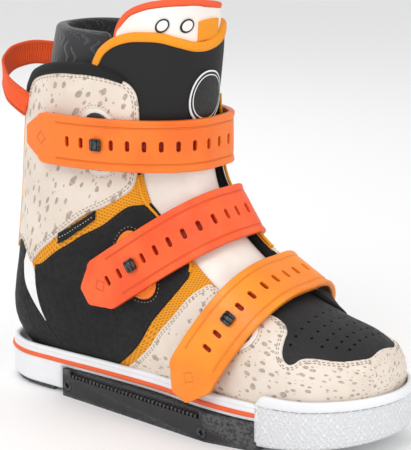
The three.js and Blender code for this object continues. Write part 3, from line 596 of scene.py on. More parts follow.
def collar_cloth(name):
    """Black padded lining cloth with short wavy ridges pressed into it, the ridges painted lighter as sheen.
    """
    m = Maker(name, 0.82, Sheen_Weight=0.3, Sheen_Roughness=0.5)
    x, y = m.uv_parts()
    bend = m.times(m.math("SINE", m.times(y, 1.15)), 1.5)
    ridge = m.step(m.math("SINE", m.times(m.math("ADD", x, bend), 1.25)), 0.1, 0.8)
    dash = m.step(m.math("SINE", m.math("ADD", m.times(y, 0.62), m.times(x, 0.35))), -0.3, 0.3)
    squiggle = m.times(ridge, dash)
    # painted sheen: the pressed ridges are lighter than the cloth
    m.colour(m.mix(squiggle, m.grime(linear("1D1E20"), linear("232427"), 120), linear("2B2C30")))
    m.rough(m.step(squiggle, 0, 1, 0.86, 0.6))
    m.bump(squiggle, 0.5)
    m.bump(m.noise(1400, 3), 0.08)
    return m.material


MATERIALS = {
    "cream": speckled("cream_speckled_leather"),
    "tongue": leather("tongue_leather", "F0E9E1", "E9E0D6", 0.38, 0.02, Coat_Weight=0.2,
                      Coat_Roughness=0.3).material,
    "black": leather("black_leather", "101011", "161617", 0.62, 0.06, Specular_IOR_Level=0.3).material,
    "vamp": leather("vamp_leather", "1F1F20", "252526", 0.56, 0.03, Specular_IOR_Level=0.3).material,
    "lining": woven("black_lining", "131415", "0C0C0D", 1.3, 0.9, 0.1),
    "flap": woven("flap_cloth", "101011", "0C0C0D", 1.6, 0.75, 0.05),
    "mesh": woven("spacer_mesh", "F5A310", "DB8A08", 0.8, 0.8, 0.2, 0.26, "B06A06"),
    # B06A06 is painted shade in the mesh's openings
    "binding": woven("yellow_binding", "FBA41C", "F0920C", 0.75, 0.8, 0.22),
    "coral_binding": woven("coral_binding", "F96A3C", "EC5528", 0.75, 0.8, 0.2),
    "piping": woven("yellow_piping", "FBB01C", "F29A0E", 1.1, 0.75, 0.12),
    "webbing": woven("coral_webbing", "FB6226", "F04E16", 0.55, 0.8, 0.35),
    "white_cloth": leather("white_cloth", "F3EFEA", "ECE7E0", 0.6, 0.02, Sheen_Weight=0.2).material,
    "collar": collar_cloth("collar_cloth"),
    "white_rubber": rubber("white_rubber", "EDEEF0", "E6E7EA", 0.42, 0.05).material,
    "bumper": bumper_rubber("bumper_rubber"),
    "stripe": rubber("stripe_rubber", "F0622A", "E85A22", 0.5).material,
    "flash": leather("white_flash", "F4F4F4", "ECECEC", 0.4, 0.02).material,
    "plastic": hard_plastic("dark_plastic", "1F1F20", "262627"),
    "sole_black": hard_plastic("sole_black", "19191A", "222223", 0.65),
    "steel": hard_plastic("dark_steel", "3C3E42", "2C2E31", 0.32),
    # painted shade: the dark red seen through the strap slots
    "strap_slot_painted_shade": rubber("strap_slot_painted_shade", "A8260C", "8F1D08", 0.6).material,
    "orange_pill": rubber("orange_pill", "FB8A1E", "F47D12", 0.45).material,
    "rim": rubber("cream_rim", "EDE6DC", "E2DACF", 0.5).material,
    "thread_cream": woven("cream_thread", "F2EAE0", "D9CFC2", 2.0, 0.8, 0.05),
    "thread_black": woven("black_thread", "2A2A2B", "1A1A1B", 2.0, 0.8, 0.05),
    "thread_brown": woven("brown_thread", "B5A696", "8E8072", 2.0, 0.8, 0.05),
    "badge_white": rubber("badge_white", "F1F1F0", "E8E8E7", 0.5).material,
    "badge_black": rubber("badge_black", "151515", "1C1C1C", 0.5).material,
    # painted shade seen through the vamp's perforations
    "hole": leather("hole_painted_shade", "0A0A0A", "0D0D0D", 0.9, 0.01).material,
}
MATERIALS["steel"].node_tree.nodes["Principled BSDF"].inputs["Metallic"].default_value = 0.85


def mark(obj, stands_for, slot):
    if stands_for:
        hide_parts(*stands_for)


def settle(obj, stands_for=(), slot=None, body="boot"):
    """A stiff piece of one body, with the CAD nodes that it stands for."""
    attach(obj, body)
    mark(obj, stands_for, slot)


def fold(obj, stands_for=(), slot=None):
    """A piece of the shin flap or of the liner's tongue, with its transform baked into its mesh and the CAD
    nodes that it stands for hidden.
    """
    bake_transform(obj)
    mark(obj, stands_for, slot)


def on_shell(depth):
    return lambda u, v, h: shell(u, v, depth - h)


def on_surface(depth):
    return lambda u, v, h: surface(u, v, depth - h)


SHELL, SURFACE = on_shell(0), on_surface(0)


def outline_of(points, step=1.8):
    return spline(points, True, step)


# ---------- the shell's outlines, as (station, angle); a third value marks a corner ----------
LATERAL_EDGE = [(4.3, 33), (5.3, 34.5), (6, 42), (7, 45), (9.5, 47), (10.4, 51), (11.3, 54), (13.4, 55),
                (14.2, 60), (17, 64)]
MEDIAL_EDGE = [(4.3, 33), (5.3, 23), (6, 25), (7, 27), (9.5, 30), (10.4, 33), (11.3, 37), (13.4, 40),
               (14.2, 42), (17, 44)]


def to_medial(points):
    """The lateral outline's partner on the medial side, where the lace edge lies nearer the middle."""
    out = []
    for p in points:
        s, a = p[0], abs(p[1])
        low = np.interp(s, *zip(*LATERAL_EDGE))
        near = np.interp(s, *zip(*MEDIAL_EDGE))
        if a < 90:
            a = near + (a - low) * (90 - near) / (90 - low)
        out.append((s, a, *p[2:]))
    return out[::-1]


CUFF = [(14.62, -158, 1), (14.78, -138.5), (15.12, -129.5), (15.15, -101.5), (14.75, -79), (14.33, -64),
        (13.95, -58), (13.55, -55.5), (13.0, -54.5), (12.2, -54.5), (11.48, -55.2), (11.12, -58.5),
        (11.18, -71), (11.45, -87.5), (11.5, -97), (11.5, -111.5), (11.45, -116), (11.73, -125),
        (12.03, -137), (12.1, -158, 1)]
BAND = [(10.3, -50, 1), (10.3, -55), (10.6, -63.5), (10.75, -78), (11.1, -96.5), (11.15, -107.5),
        (11.4, -118, 1), (11.8, -118, 1), (11.8, -97), (11.6, -71), (11.4, -56, 1), (11.3, -52, 1)]
QUARTER = [(10.42, -54.2, 1), (10.75, -63.5), (10.88, -78), (11.23, -96.5), (11.28, -107.5),
           (11.36, -113, 1), (11.18, -112.5), (10.9, -112.8), (10.45, -114.5), (10, -116), (9.53, -122.5),
           (9.3, -135, 1), (8.9, -135, 1), (8.72, -128), (8.42, -107.5), (8.17, -88), (7.92, -71.5),
           (7.78, -60), (7.74, -53), (7.9, -48.6), (8.6, -48.2), (9.75, -50), (10.1, -51.5)]
FLASH = [(11.62, -127.5, 1), (11.3, -123.5), (11.0, -119), (10.7, -116.2), (10.38, -114.4, 1),
         (10.8, -112.6), (11.18, -112.2), (11.4, -115.5), (11.62, -121), (11.75, -125.5)]
HEEL = [(12.2, -180, 1), (12.1, -158), (12.03, -137), (11.75, -125), (11.3, -122), (11.0, -119),
        (10.7, -116), (10.45, -114.8), (10, -115.6), (9.53, -122.0), (9.3, -134, 1), (9.6, -150),
        (10.0, -180, 1)]
GUSSET = [(8.4, -44.5, 1), (8.4, -70), (8.7, -100), (9.1, -133, 1), (8.2, -133, 1), (7.75, -98), (7.4, -75),
          (7.05, -60), (6.75, -44, 1)]
FOREFOOT_HALF = [(1.78, 0), (1.78, -25.5), (2.1, -37), (2.6, -47.5), (2.95, -50.5), (3.33, -52.5),
                 (3.6, -55), (3.72, -57.5), (3.85, -63), (3.98, -65), (4.13, -63), (4.25, -57.5),
                 (4.33, -47.5), (4.4, -38), (4.55, -33.5), (4.8, -32), (5.28, -35), (5.6, -39.5),
                 (5.95, -42.6), (6.5, -44), (7.03, -45.6), (7.25, -53), (7.43, -61), (7.7, -79),
                 (8.08, -98.5), (8.53, -131.5, 1), (7, -131, 1), (5, -128), (4, -126), (3, -124), (2, -122),
                 (1.2, -124), (0.7, -128, 1)]


def mirrored(points):
    return [(p[0], -p[1], *p[2:]) for p in points][::-1]


def pair(name, points, depth, thickness, lateral, medial, slot, **settings):
    """A panel on the lateral side and its partner on the medial side."""
    for side, pts, material in (("lateral", points, lateral), ("medial", to_medial(points), medial)):
        made = slab(f"{name}_{side}", outline_of(pts), on_shell(depth), 0, -thickness, material, **settings)
        settle(made, (f"{name}_{side}",), slot)


def edge_stitches(name, points, depth, distances, material):
    """Rows of stitches inside an outline, at distances from it in mm."""
    loop = outline_of(points)
    place = on_shell(depth)
    if area2(loop * (KU, KV)) < 0:
        loop = loop[::-1]
    curves = []
    for distance in distances:
        inner = moved(loop, place, distance)
        if abs(area2(inner * (KU, KV))) > abs(area2(loop * (KU, KV))):
            inner = moved(loop, place, -distance)
        curves.append(np.concatenate([inner, inner[:1]]))
    settle(stitches(name, curves, place, 0.05, material))


# ---------- shell ----------
CUFF_DEPTH, QUARTER_DEPTH, HEEL_DEPTH = -0.2, 0.35, 0.5  # of each panel's face below the surface


def base_layer():
    """The lining that shows between the panels, and under them."""
    lateral = [(6.4, -44, 1), (8, -45.5), (9.75, -47), (10.5, -51), (11.2, -53.5), (13, -53.5), (13.8, -56),
               (14.5, -64), (15.05, -80), (15.35, -101), (15.3, -130), (15.0, -180, 1), (10.0, -180, 1),
               (9.0, -140), (8, -132), (6.4, -128, 1)]
    for side, pts in (("lateral", lateral), ("medial", to_medial(lateral))):
        settle(slab(f"base_layer_{side}", outline_of(pts, 3), on_shell(1.7), 0, -0.9, "lining", spacing=6))


base_layer()
pair("cuff", CUFF, CUFF_DEPTH, 2.0, "cream", "black", None, roll=1.5, spacing=3.5)
pair("mesh_band", BAND, 1.2, 1.0, "mesh", "mesh", "mesh", spacing=4)
pair("quarter", QUARTER, QUARTER_DEPTH, 1.4, "black", "black", "black_synthetic", roll=1.0, spacing=4)
pair("flash", FLASH, 0.25, 1.2, "flash", "flash", "white_plastic", roll=0.6, spacing=3)
pair("mesh_gusset", GUSSET, 1.2, 1.0, "mesh", "mesh", "mesh", spacing=4)
for side, pts in (("lateral", HEEL), ("medial", [(s, -a, *r) for s, a, *r in HEEL])):
    panel = slab(f"heel_counter_{side}", outline_of(pts), on_shell(HEEL_DEPTH), 0, -1.2, "black", roll=0.8)
    settle(panel, ("heel_counter",), "black_synthetic")
    edge_stitches(f"heel_stitches_{side}", pts, HEEL_DEPTH, (2.0,), "thread_black")


def forefoot():
    medial = to_medial(FOREFOOT_HALF[1:])
    loop = outline_of(FOREFOOT_HALF + [(0.6, -150, 1), (0.6, 150, 1)] + medial, 1.6)
    made = slab("forefoot_shell", loop, on_shell(0.0), 0, -2.0, "cream", roll=1.1, spacing=3.6)
    settle(made, ("forefoot",), "cream_leather")
    # The toe tip closes with a rounded nose.
    angles = np.arange(-180, 180, 12.0)
    rings = [surface(1.1, angles, 1.2), surface(1.02, angles, 0.1)]
    rings += [surface(s, angles, -0.1) for s in (0.95, 0.8, 0.6, 0.45, 0.3, 0.15, 0.03)]
    last, middle = rings[-1], rings[-1].mean(0)
    for share, forward in ((0.8, 0.5), (0.55, 0.8), (0.3, 1.0)):
        rings.append(middle + (last - middle) * share + np.array([forward, 0, 0]))
    settle(loft("toe_nose", rings, "cream"))
    curves = []
    for run in (FOREFOOT_HALF[1:26], to_medial(FOREFOOT_HALF[1:26])):
        line = spline([p[:2] for p in run], False, 1.6)
        for distance in (2.0, 3.4):
            sides = [moved(line, SHELL, d, closed=False) for d in (distance, -distance)]
            curves.append(max(sides, key=lambda c: np.abs(c[:, 1]).mean() - 12 * c[:, 0].mean()))
    settle(stitches("forefoot_stitches", curves, SHELL, 0.05, "thread_brown", length=1.9, gap=1.1))


forefoot()
edge_stitches("cuff_stitches_lateral", CUFF, CUFF_DEPTH, (2.2, 3.8), "thread_brown")
edge_stitches("cuff_stitches_medial", to_medial(CUFF), CUFF_DEPTH, (2.2,), "thread_black")
edge_stitches("quarter_stitches_lateral", QUARTER, QUARTER_DEPTH, (2.0,), "thread_black")
edge_stitches("quarter_stitches_medial", to_medial(QUARTER), QUARTER_DEPTH, (2.0,), "thread_black")


def round_outline(s, a, radius, count, depth=0.0):
    """A circle of radius mm about one point of the surface."""
    centre = surface(s, a, depth)[0]
    ds = np.linalg.norm(surface(s + 0.05, a, depth)[0] - centre) / 0.05
    da = np.linalg.norm(surface(s, a + 1, depth)[0] - centre)
    turn = turns(count)
    return np.stack([s + radius * np.cos(turn) / ds, a + radius * np.sin(turn) / da], 1)


def vamp():
    edge = [(1.55, 0), (1.6, -22), (1.95, -36), (2.5, -48), (3.3, -57), (3.95, -70), (4.6, -64), (4.9, -50),
            (5.35, -38, 1), (5.35, 0)]
    loop = outline_of(edge + mirrored(edge[1:-1]), 1.8)
    holes = []
    for i, (s, reach) in enumerate(((2.6, 30), (2.97, 34), (3.35, 38), (3.75, 40), (4.15, 50))):
        row = [j * 9.5 + (i % 2) * 4.7 for j in range(-5, 6)]
        holes += [round_outline(s, a, 1.0, 8) for a in row if abs(a) <= reach]
    made = slab("vamp_upper", loop, on_surface(1.3), 0, -1.0, "vamp", holes, roll=0.5, spacing=3.6)
    settle(made, ("toe_vamp",), "black_synthetic")
    # A near-black sheet under the perforations: painted shade for what is seen through them.
    under = slab("vamp_hole_shade_sheet", loop, on_surface(2.5), 0, -0.6, "hole", spacing=7)
    settle(under)


vamp()


# ---------- tongue, shin flap, liner ----------
def tongue():
    edge = [(4.7, -58, 1), (7, -60), (9, -60), (11.9, -62, 1), (11.9, 0), (11.9, 62, 1), (9, 60), (7, 60),
            (4.7, 58, 1)]
    bulge = lambda u, v: 1.2 * np.exp(-(v / 45) ** 2) * smooth(5, 6.5, u) * (1 - smooth(10.6, 11.8, u))
    made = slab("tongue_body", outline_of(edge, 3), on_surface(2.9), 0, -2.6, "tongue", spacing=4,
                raised=bulge)
    settle(made, ("tongue",), "cream_leather")


def bound_edge(name, curve, place, shape, material):
    """A binding folded over a top edge: the shape's points are (down from the edge, outwards)."""
    p, _, side, out = frames_on(curve, place, 0)
    middle = len(p) // 2
    down = 1 if (surface(15, 0)[0] - p[middle]) @ side[middle] > 0 else -1
    return ribbon(name, p, (side * down, out), shape, material)


FLAP_DEPTH = 3.4
FLAP_TOP = [(14.2, -92), (14.85, -87), (15.3, -84.8), (15.56, -82.5), (15.78, -77), (15.88, -67),
            (15.8, -55), (15.66, -44), (15.35, -29), (15.12, -15.5), (15.1, -4), (15.3, 8), (15.62, 20),
            (15.86, 34), (15.95, 50), (15.92, 66), (15.75, 77), (15.4, 84), (14.9, 88), (14.2, 92)]


def shin_flap():
    thick = lambda u, v: 1.4 * smooth(11.4, 13, u) * (1 - 0.35 * smooth(14.6, 15.6, u))
    edge = FLAP_TOP + [(11.35, 84, 1), (11.35, 0), (11.35, -84, 1)]
    loop = outline_of(edge, 2.2)
    made = slab("shin_flap_cloth", loop, on_surface(FLAP_DEPTH), 0, -3.0, "flap", spacing=3.6, raised=thick,
                roll=1.2)
    fold(made, ("shin_flap", "shin_flap_base"), "black_synthetic")
    # The folded yellow binding over the top edge.
    top = spline(FLAP_TOP[1:-1], False, 1.6)
    shape = [(2.6, -1.9), (2.6, -3.6), (0.6, -4.0), (-1.0, -2.6), (-1.2, -0.6), (-0.7, 0.9), (0.6, 1.75),
             (2.4, 1.9), (4.7, 1.75), (4.9, 1.1), (4.7, 0.2), (2.6, -0.4)]
    made = bound_edge("shin_flap_edge", top, on_surface(FLAP_DEPTH), shape, "binding")
    fold(made, ("shin_flap_binding",), "trim_fabric")
    inner = moved(top, SURFACE, 4.1, closed=False)
    outer = moved(top, SURFACE, -4.1, closed=False)
    row = inner if inner[:, 0].mean() < outer[:, 0].mean() else outer
    fold(stitches("shin_flap_stitches", [row], on_surface(FLAP_DEPTH), 1.78, "binding", length=1.5, gap=0.9))


def station_where(angle, low, high, below):
    """For each angle, the station between low and high where below(station) stops being true."""
    low, high = np.full(len(angle), low), np.full(len(angle), high)
    for _ in range(40):
        middle = (low + high) / 2
        under = below(middle)
        low, high = np.where(under, middle, low), np.where(under, high, middle)
    return (low + high) / 2


def liner_depth(s, a):
    a = wrapped(a)
    side = smooth(88, 112, np.abs(a))
    back = np.maximum(0, -np.cos(np.radians(a)))
    return 6.8 - 3.9 * side + 15 * smooth(11.6, 14.4, s) * back


def liner():
    angles = np.arange(-180, 180, 4.0)
    size = np.abs(angles)
    # The collar stands high round the back and sides, and drops in front, behind the liner's tongue.
    top_z = LIFT + 247 - 2.0 * smooth(120, 180, size)
    top = station_where(angles, 9.0, 17.0, lambda s: surface(s, angles, 8.0)[:, 2] < top_z)
    top = top - (top - 12.9) * (1 - smooth(70, 80, size))
    rows = []
    for t in np.linspace(0, 1, 26):
        s = 2.0 + (top - 2.0) * t
        bulge = 1.6 * math.sin(math.pi * min(1, max(0, (t - 0.8) / 0.2))) * smooth(80, 100, size)
        rows.append(surface(s, angles, liner_depth(s, angles) - bulge))
    for t in np.linspace(0, math.pi, 9)[1:-1]:
        point = surface(top, angles, liner_depth(top, angles) + 4 * (1 - math.cos(t)))
        point[:, 2] += 3.4 * math.sin(t)
        rows.append(point)
    for t in np.linspace(1, 0, 26):
        s = 2.6 + (top - 2.6) * t
        rows.append(surface(s, angles, liner_depth(s, angles) + 8 + 1.2 * math.sin(math.pi * t)))
    made = loft("liner_padding", rows, "collar", along=angles * 0.8, rise=np.arange(len(rows)) * 5.0)
    sub = made.modifiers.new("soft", "SUBSURF")
    sub.levels = sub.render_levels = 1
    settle(made, ("liner_lateral", "liner_medial"), "liner_fabric")


LINER_TONGUE = [(13.2, -74, 1), (15.2, -76), (16.2, -75), (16.6, -70), (16.78, -60), (16.82, -45),
                (16.78, -30), (16.72, -15), (16.6, -2), (16.52, 12), (16.5, 25), (16.5, 38), (16.42, 52),
                (16.25, 64), (15.9, 71), (15, 74), (13.2, 74, 1)]


def liner_tongue():
    depth = 6.6
    place = on_surface(depth)
    puffed = lambda u, v: 1.0 * smooth(14, 15.2, u) * (1 - smooth(15.9, 16.5, u))
    loop = outline_of(LINER_TONGUE, 2.4)
    made = slab("liner_tongue_pad", loop, place, 0, -4.6, "white_cloth", spacing=3.6, roll=1.6,
                raised=puffed)
    fold(made, ("liner_tongue",), "white_fabric")
    top = spline([p[:2] for p in LINER_TONGUE[1:-1]], False, 1.8)
    shape = [(2.6, 0.5), (0.6, 0.9), (-0.9, 0.2), (-1.4, -2.3), (-0.9, -4.7), (0.6, -5.5), (2.6, -5.1),
             (3.4, -4.6), (3.4, -0.1)]
    made = bound_edge("liner_tongue_edge", top, place, shape, "coral_binding")
    fold(made, ("liner_tongue_binding",), "trim_fabric")
    # Two lace eyelets and a folded tab with no mark, half hidden by the shin flap.
    for k, (s, a) in enumerate(((16.0, -44), (15.85, -24))):
        for label, radius, high, low, key in (("eyelet_ring", 4.6, 1.9, 0.2, "badge_black"),
                                              ("eyelet_inner", 3.5, 2.15, 0.3, "white_cloth")):
            ring = round_outline(s, a, radius, 24, depth)
            made = slab(f"{label}_{k}", ring, place, high, low, key, spacing=3, roll=0.4)
            fold(made)
    tab = [(15.2, -12.5, 1), (15.95, -13.5, 1), (16.0, -2.5), (15.98, 8, 1), (15.2, 8.5, 1)]
    made = slab("liner_tongue_tab", outline_of(tab, 1.6), place, 2.6, 0.6, "binding", spacing=3, roll=0.7)
    fold(made, (), "trim_fabric")


tongue()
shin_flap()
liner()
liner_tongue()


# ---------- straps and hooks ----------
STANDOFF = 5.8  # from the shell to the middle of a strap's thickness
STRAP_TOP, STRAP_UNDERSIDE = 1.7, -1.9  # from that middle
SLOT_SPACING = 11
# Length and width of the plate round each post, of its rim, and of the seam round that.
PILL, PILL_RIM, PILL_SEAM = (39.5, 21.5), (45, 27), (49, 31)
STRAPS = {
    "upper": dict(lean=0, offset=179, width=34, anchor=78, hook=-77.5, tail=62, bend=0.5,
                  colours=("F87A1C", "EE6A10"), pill="plastic", rim="rim", slot="strap_orange"),
    "middle": dict(lean=35, offset=94, width=36, anchor=74, hook=-72.5, tail=46, bend=0.1,
                   colours=("F96428", "F0521A"), pill="orange_pill", rim="orange_pill", slot="strap_orange"),
    "lower": dict(lean=62, offset=-16.3, width=35, anchor=64, hook=-57, tail=62, bend=0.62,
                  colours=("FB931E", "F48412"), pill="plastic", rim="rim", slot="strap_amber"),
}


def slice_point(normal, offset, angle, height):
    """The shell's points at that height, and their stations, on the plane that a strap's middle follows."""
    angle = np.atleast_1d(np.asarray(angle, float))
    station = station_where(angle, 3.2, 15.5, lambda s: shell(s, angle, -height) @ normal < offset)
    return shell(station, angle, -height), station


def rotated(vector, axis, angle):
    return np.array(Matrix.Rotation(angle, 3, Vector(axis)) @ Vector(vector))


def pill_outline(length, width, count=12):
    straight, r = (length - width) / 2, width / 2
    turn = np.linspace(-math.pi / 2, math.pi / 2, count)
    right = np.stack([straight + r * np.cos(turn), r * np.sin(turn)], 1)
    return np.concatenate([right, -right])


def slot_outline(u, length, width=7.2):
    turn = np.linspace(0, math.pi, 6)
    r = length / 2
    top = np.stack([u + r * np.cos(turn), width / 2 - r + r * np.sin(turn)], 1)
    return np.concatenate([top, np.stack([2 * u - top[:, 0], -top[:, 1]], 1)])


def rounded_outline(corners, radius, step=1.2):
    """A closed outline with straight sides and rounded corners."""
    out = []
    pts = np.array(corners, float)
    for before, p, after in zip(np.roll(pts, 1, 0), pts, np.roll(pts, -1, 0)):
        start, end = p + unit(before - p) * radius, p + unit(after - p) * radius
        for t in np.linspace(0, 1, 5):
            out.append((1 - t) ** 2 * start + 2 * t * (1 - t) * p + t * t * end)
        straight = after + unit(p - after) * radius - end
        parts = int(np.linalg.norm(straight) / step)
        out += [end + straight * k / parts for k in range(1, parts)]
    return np.array(out)


def near_surface(s, a):
    """Makes place functions whose (x, y) are mm along two given directions, from one point of the shell."""
    pu = (shell(s + 0.02, a)[0] - shell(s - 0.02, a)[0]) / 0.04
    pv = shell(s, a + 0.5)[0] - shell(s, a - 0.5)[0]
    inverse = np.linalg.pinv(np.stack([pu, pv], 1))

    def with_axes(one, two, depth=0.0):
        d1, d2 = inverse @ one, inverse @ two
        return lambda x, y, h: shell(s + d1[0] * x + d2[0] * y, a + d1[1] * x + d2[1] * y, depth - h)
    return with_axes


def build_strap(name, lean, offset, width, anchor, hook, tail, bend, colours, pill, rim, slot):
    rad = math.radians(lean)
    normal = np.array([-math.sin(rad), 0, math.cos(rad)])
    offset = offset + LIFT * normal[2]
    path = list(slice_point(normal, offset, np.linspace(anchor + 12, hook, 27), STANDOFF)[0])
    heading = unit(path[-1] - path[-2])
    for i in range(5):
        path.append(path[-1] + rotated(heading, normal, -bend * (i + 0.5) / 5) * tail / 5)
    pts = np.array(path)
    rough = lengths(pts)
    # A smooth curve through the points, resampled every half millimetre.
    curve = softened(sampled(pts, rough, np.linspace(0, rough[-1], int(rough[-1] * 2))), 25)
    length = lengths(curve)
    total = length[-1]
    along = unit(np.gradient(curve, axis=0))
    out = unit(np.cross(normal, along))

    def at(values, u):
        return sampled(values, length, u)

    def place(u, v, h):
        u, v, h = np.broadcast_arrays(*(np.atleast_1d(np.asarray(w, float)) for w in (u, v, h)))
        return at(curve, u) + normal * v[:, None] + at(out, u) * h[:, None]

    def nearest(point):
        return float(length[np.argmin(np.linalg.norm(curve - point, axis=1))])

    places = {"lateral": hook, "medial": anchor}
    at_hook = {side: nearest(slice_point(normal, offset, a, STANDOFF)[0][0]) for side, a in places.items()}
    half = width / 2
    tip, taper = 0.36 * half, 17
    corners = [(0, -tip), (taper, -half), (total - taper, -half), (total, -tip), (total, tip),
               (total - taper, half), (taper, half), (0, tip)]
    holes = []
    position = at_hook["lateral"] + 2 * SLOT_SPACING
    while position > at_hook["medial"] - 1:
        holes.append(slot_outline(position, 3.0 if abs(position - at_hook["lateral"]) > 1 else 5.4))
        position -= SLOT_SPACING

    def lip(u, v):
        """A raised edge with a shallow groove inside it."""
        edge = np.abs(v)
        return 0.9 * smooth(half - 4.2, half - 2.2, edge) - 0.25 * smooth(half - 6, half - 5, edge)

    MATERIALS[name] = strap_rubber(f"{name}_rubber", *colours, half, total)
    made = slab(f"{name}_strap_band", rounded_outline(corners, 2.6), place, STRAP_TOP, STRAP_UNDERSIDE, name,
                holes, spacing=2.4, roll=1.1, scale=(1, 1), raised=lip)
    # A thin dark red sheet closes the slots from behind as painted shade, standing in for the shaded shell
    # seen through them; it is open where the posts come through.
    slot_shade_outline = [(2, -5.5), (total - 30, -5.5), (total - 30, 5.5), (2, 5.5)]
    posts = [slot_outline(at_hook[side], 6.2, 9.4) for side in places]
    back = slab(f"{name}_strap_slot_shade_sheet", rounded_outline(slot_shade_outline, 2, 3), place, STRAP_UNDERSIDE - 0.05,
                STRAP_UNDERSIDE - 0.45, "strap_slot_painted_shade", posts, spacing=4, roll=0.1, scale=(1, 1))
    joint = next(j for j in frame["joints"] if j["name"] == f"{name}_strap_release")
    hinge = np.array(joint["pos_m"])
    way = np.array([-0.2, -0.98, 0.0]) if name == "upper" else np.array([0.0, -1.0, 0.0])
    start, end = tuple(hinge - way * 0.005), tuple(hinge + way * 0.007)
    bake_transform(made)
    tuple(start)
    tuple(end)
    mark(made, (f"{name}_strap", f"{name}_strap_tail"), slot)
    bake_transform(back)
    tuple(start)
    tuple(end)
    for side, a in places.items():
        station = slice_point(normal, offset, a, 0.0)[1][0]
        t, o = at(along, at_hook[side]), at(out, at_hook[side])
        shell_place = near_surface(station, a)(normal, t)
        made = slab(f"{name}_pill_rim_{side}", pill_outline(*PILL_RIM), shell_place, 1.3, 0.1, rim, spacing=3,
                    roll=1.0, scale=(1, 1))
        settle(made, (), "dark_plastic")
        core = slab(f"{name}_pill_{side}", pill_outline(*PILL), shell_place, 2.3, 0.6, pill, spacing=3,
                    roll=0.9, scale=(1, 1))
        settle(core, (f"{name}_hook_plate_{side}",), "dark_plastic")
        ring = pill_outline(*PILL_SEAM, 16)
        settle(stitches(f"{name}_pill_stitches_{side}", [np.concatenate([ring, ring[:1]])], shell_place,
                        0.25, "thread_brown", length=1.3, gap=1.5, width=0.24))
        hook_piece(f"{name}_hook_knob_{side}", at(curve, at_hook[side] - 1.0), t, normal, o,
                   f"{name}_hook_{side}")


def hook_piece(name, centre, along, across, out, node):
    """A rounded post with a roller across its head."""
    bm = bmesh.new()
    cheek = (2.6, 8.0, 2.6)
    for size, move in (((3.2, 6.6, 5.0), (0, 0, -0.2)), (cheek, (-2.6, 0, 3.5)), (cheek, (2.6, 0, 3.5))):
        block = bmesh.ops.create_cube(bm, size=1)["verts"]
        bmesh.ops.scale(bm, vec=size, verts=block)
        bmesh.ops.translate(bm, vec=move, verts=block)
    bmesh.ops.bevel(bm, geom=bm.edges[:], offset=0.7, segments=3, affect="EDGES")
    roller = bmesh.ops.create_cone(bm, cap_ends=True, segments=18, radius1=1.9, radius2=1.9,
                                   depth=7.4)["verts"]
    bmesh.ops.rotate(bm, matrix=Matrix.Rotation(math.pi / 2, 3, "X"), verts=roller)
    bmesh.ops.translate(bm, vec=(0, 0, 3.4), verts=roller)
    basis = Matrix((Vector(along), Vector(across), Vector(out))).transposed()
    bmesh.ops.transform(bm, matrix=Matrix.Translation(Vector(centre)) @ basis.to_4x4(), verts=bm.verts)
    bmesh.ops.scale(bm, vec=(MM, MM, MM), verts=bm.verts)
    settle(add_mesh(name, bpy.data.meshes.new(name), bm, "steel"), (node,), "dark_plastic")


for strap_name, values in STRAPS.items():
    build_strap(strap_name, **values)


# ---------- sole ----------
SOLE_PLAN = [(-155, 0), (-148, -22), (-128, -35), (-95, -38.5), (-50, -40.5), (0, -44.5), (45, -52.5),
             (85, -54.5), (120, -48.8), (143, -32.5), (155, -3), (152, 22), (135, 42), (103, 50.5),
             (60, 49.5), (10, 43.5), (-50, 39.5), (-95, 37.8), (-128, 34.5), (-148, 21)]
SOLE = spline(SOLE_PLAN, True, 2.4, (1, 1))


def inset(curve, distance):
    d = unit(np.roll(curve, -1, 0) - np.roll(curve, 1, 0))
    return curve + np.stack([-d[:, 1], d[:, 0]], 1) * np.asarray(distance).reshape(-1, 1)


def spring(x):
    """How far the sole's underside rises towards the toe."""
    return 9 * np.maximum(0, (x - 40) / 115) ** 2


def wall_ring(distance, share, raise_by=0.0, curve=SOLE, beside_rails=False):
    """The curve moved in by distance, at a share of the wall's height and raise_by above it."""
    x = curve[:, 0]
    if beside_rails:
        # The wall stands back where the rails run along it.
        distance = distance + 11 * smooth(-88.5, -87.5, x) * (1 - smooth(85.5, 86.5, x))
    moved_in = inset(curve, distance)
    top = 27 + 2.5 * np.clip((x + 155) / 310, 0, 1)
    z = spring(x) + (top - spring(x)) * np.asarray(share) + raise_by + LIFT
    return np.stack([moved_in[:, 0], moved_in[:, 1], z], 1)


def rolled_to(x, y):
    """The sole's outline, started at its point nearest to (x, y)."""
    return np.roll(SOLE, -int(np.argmin(np.hypot(SOLE[:, 0] - x, SOLE[:, 1] - y))), 0)


def sole():
    # Each point: how far in, the share of the wall's height, and how far above that.
    profile = [(9, 0, 0), (2.2, 0, 0), (1.2, 0, 0.25), (0.35, 0, 1.1), (0, 0, 2.4), (0, 0.2, 0),
               (-0.1, 0.5, 0), (-0.1, 0.6, 0), (-0.05, 0.62, 0), (0.2, 0.78, 0), (0.35, 0.86, 0),
               (0.75, 0.885, 0), (0.35, 0.905, 0), (0.35, 0.95, 0), (0.7, 0.985, 0), (1.5, 1.0, 0),
               (3.2, 1.0, -0.1), (4.2, 0.97, 0), (5.0, 0.85, 0), (5.2, 0.6, 0)]
    rings = [wall_ring(*point, beside_rails=point[1] < 0.61) for point in profile]
    settle(loft("cupsole", rings, "white_rubber"), ("sole_cup",), "white_rubber")
    rear = rolled_to(87, 50.3)
    in_bumper = rear[:, 0] > 87
    stripe = rear[~in_bumper]
    stripe = np.concatenate([stripe, rear[:1]]) if in_bumper[-1] else stripe
    band = ((0.6, 0.69), (-0.55, 0.69), (-0.95, 0.71), (-0.95, 0.775), (-0.55, 0.795), (0.6, 0.795))
    rings = [wall_ring(distance, share, 0, stripe) for distance, share in band]
    settle(loft("sole_stripe_band", rings, "stripe", closed=False), ("sole_stripe",), "strap_orange")
    toe_bumper()


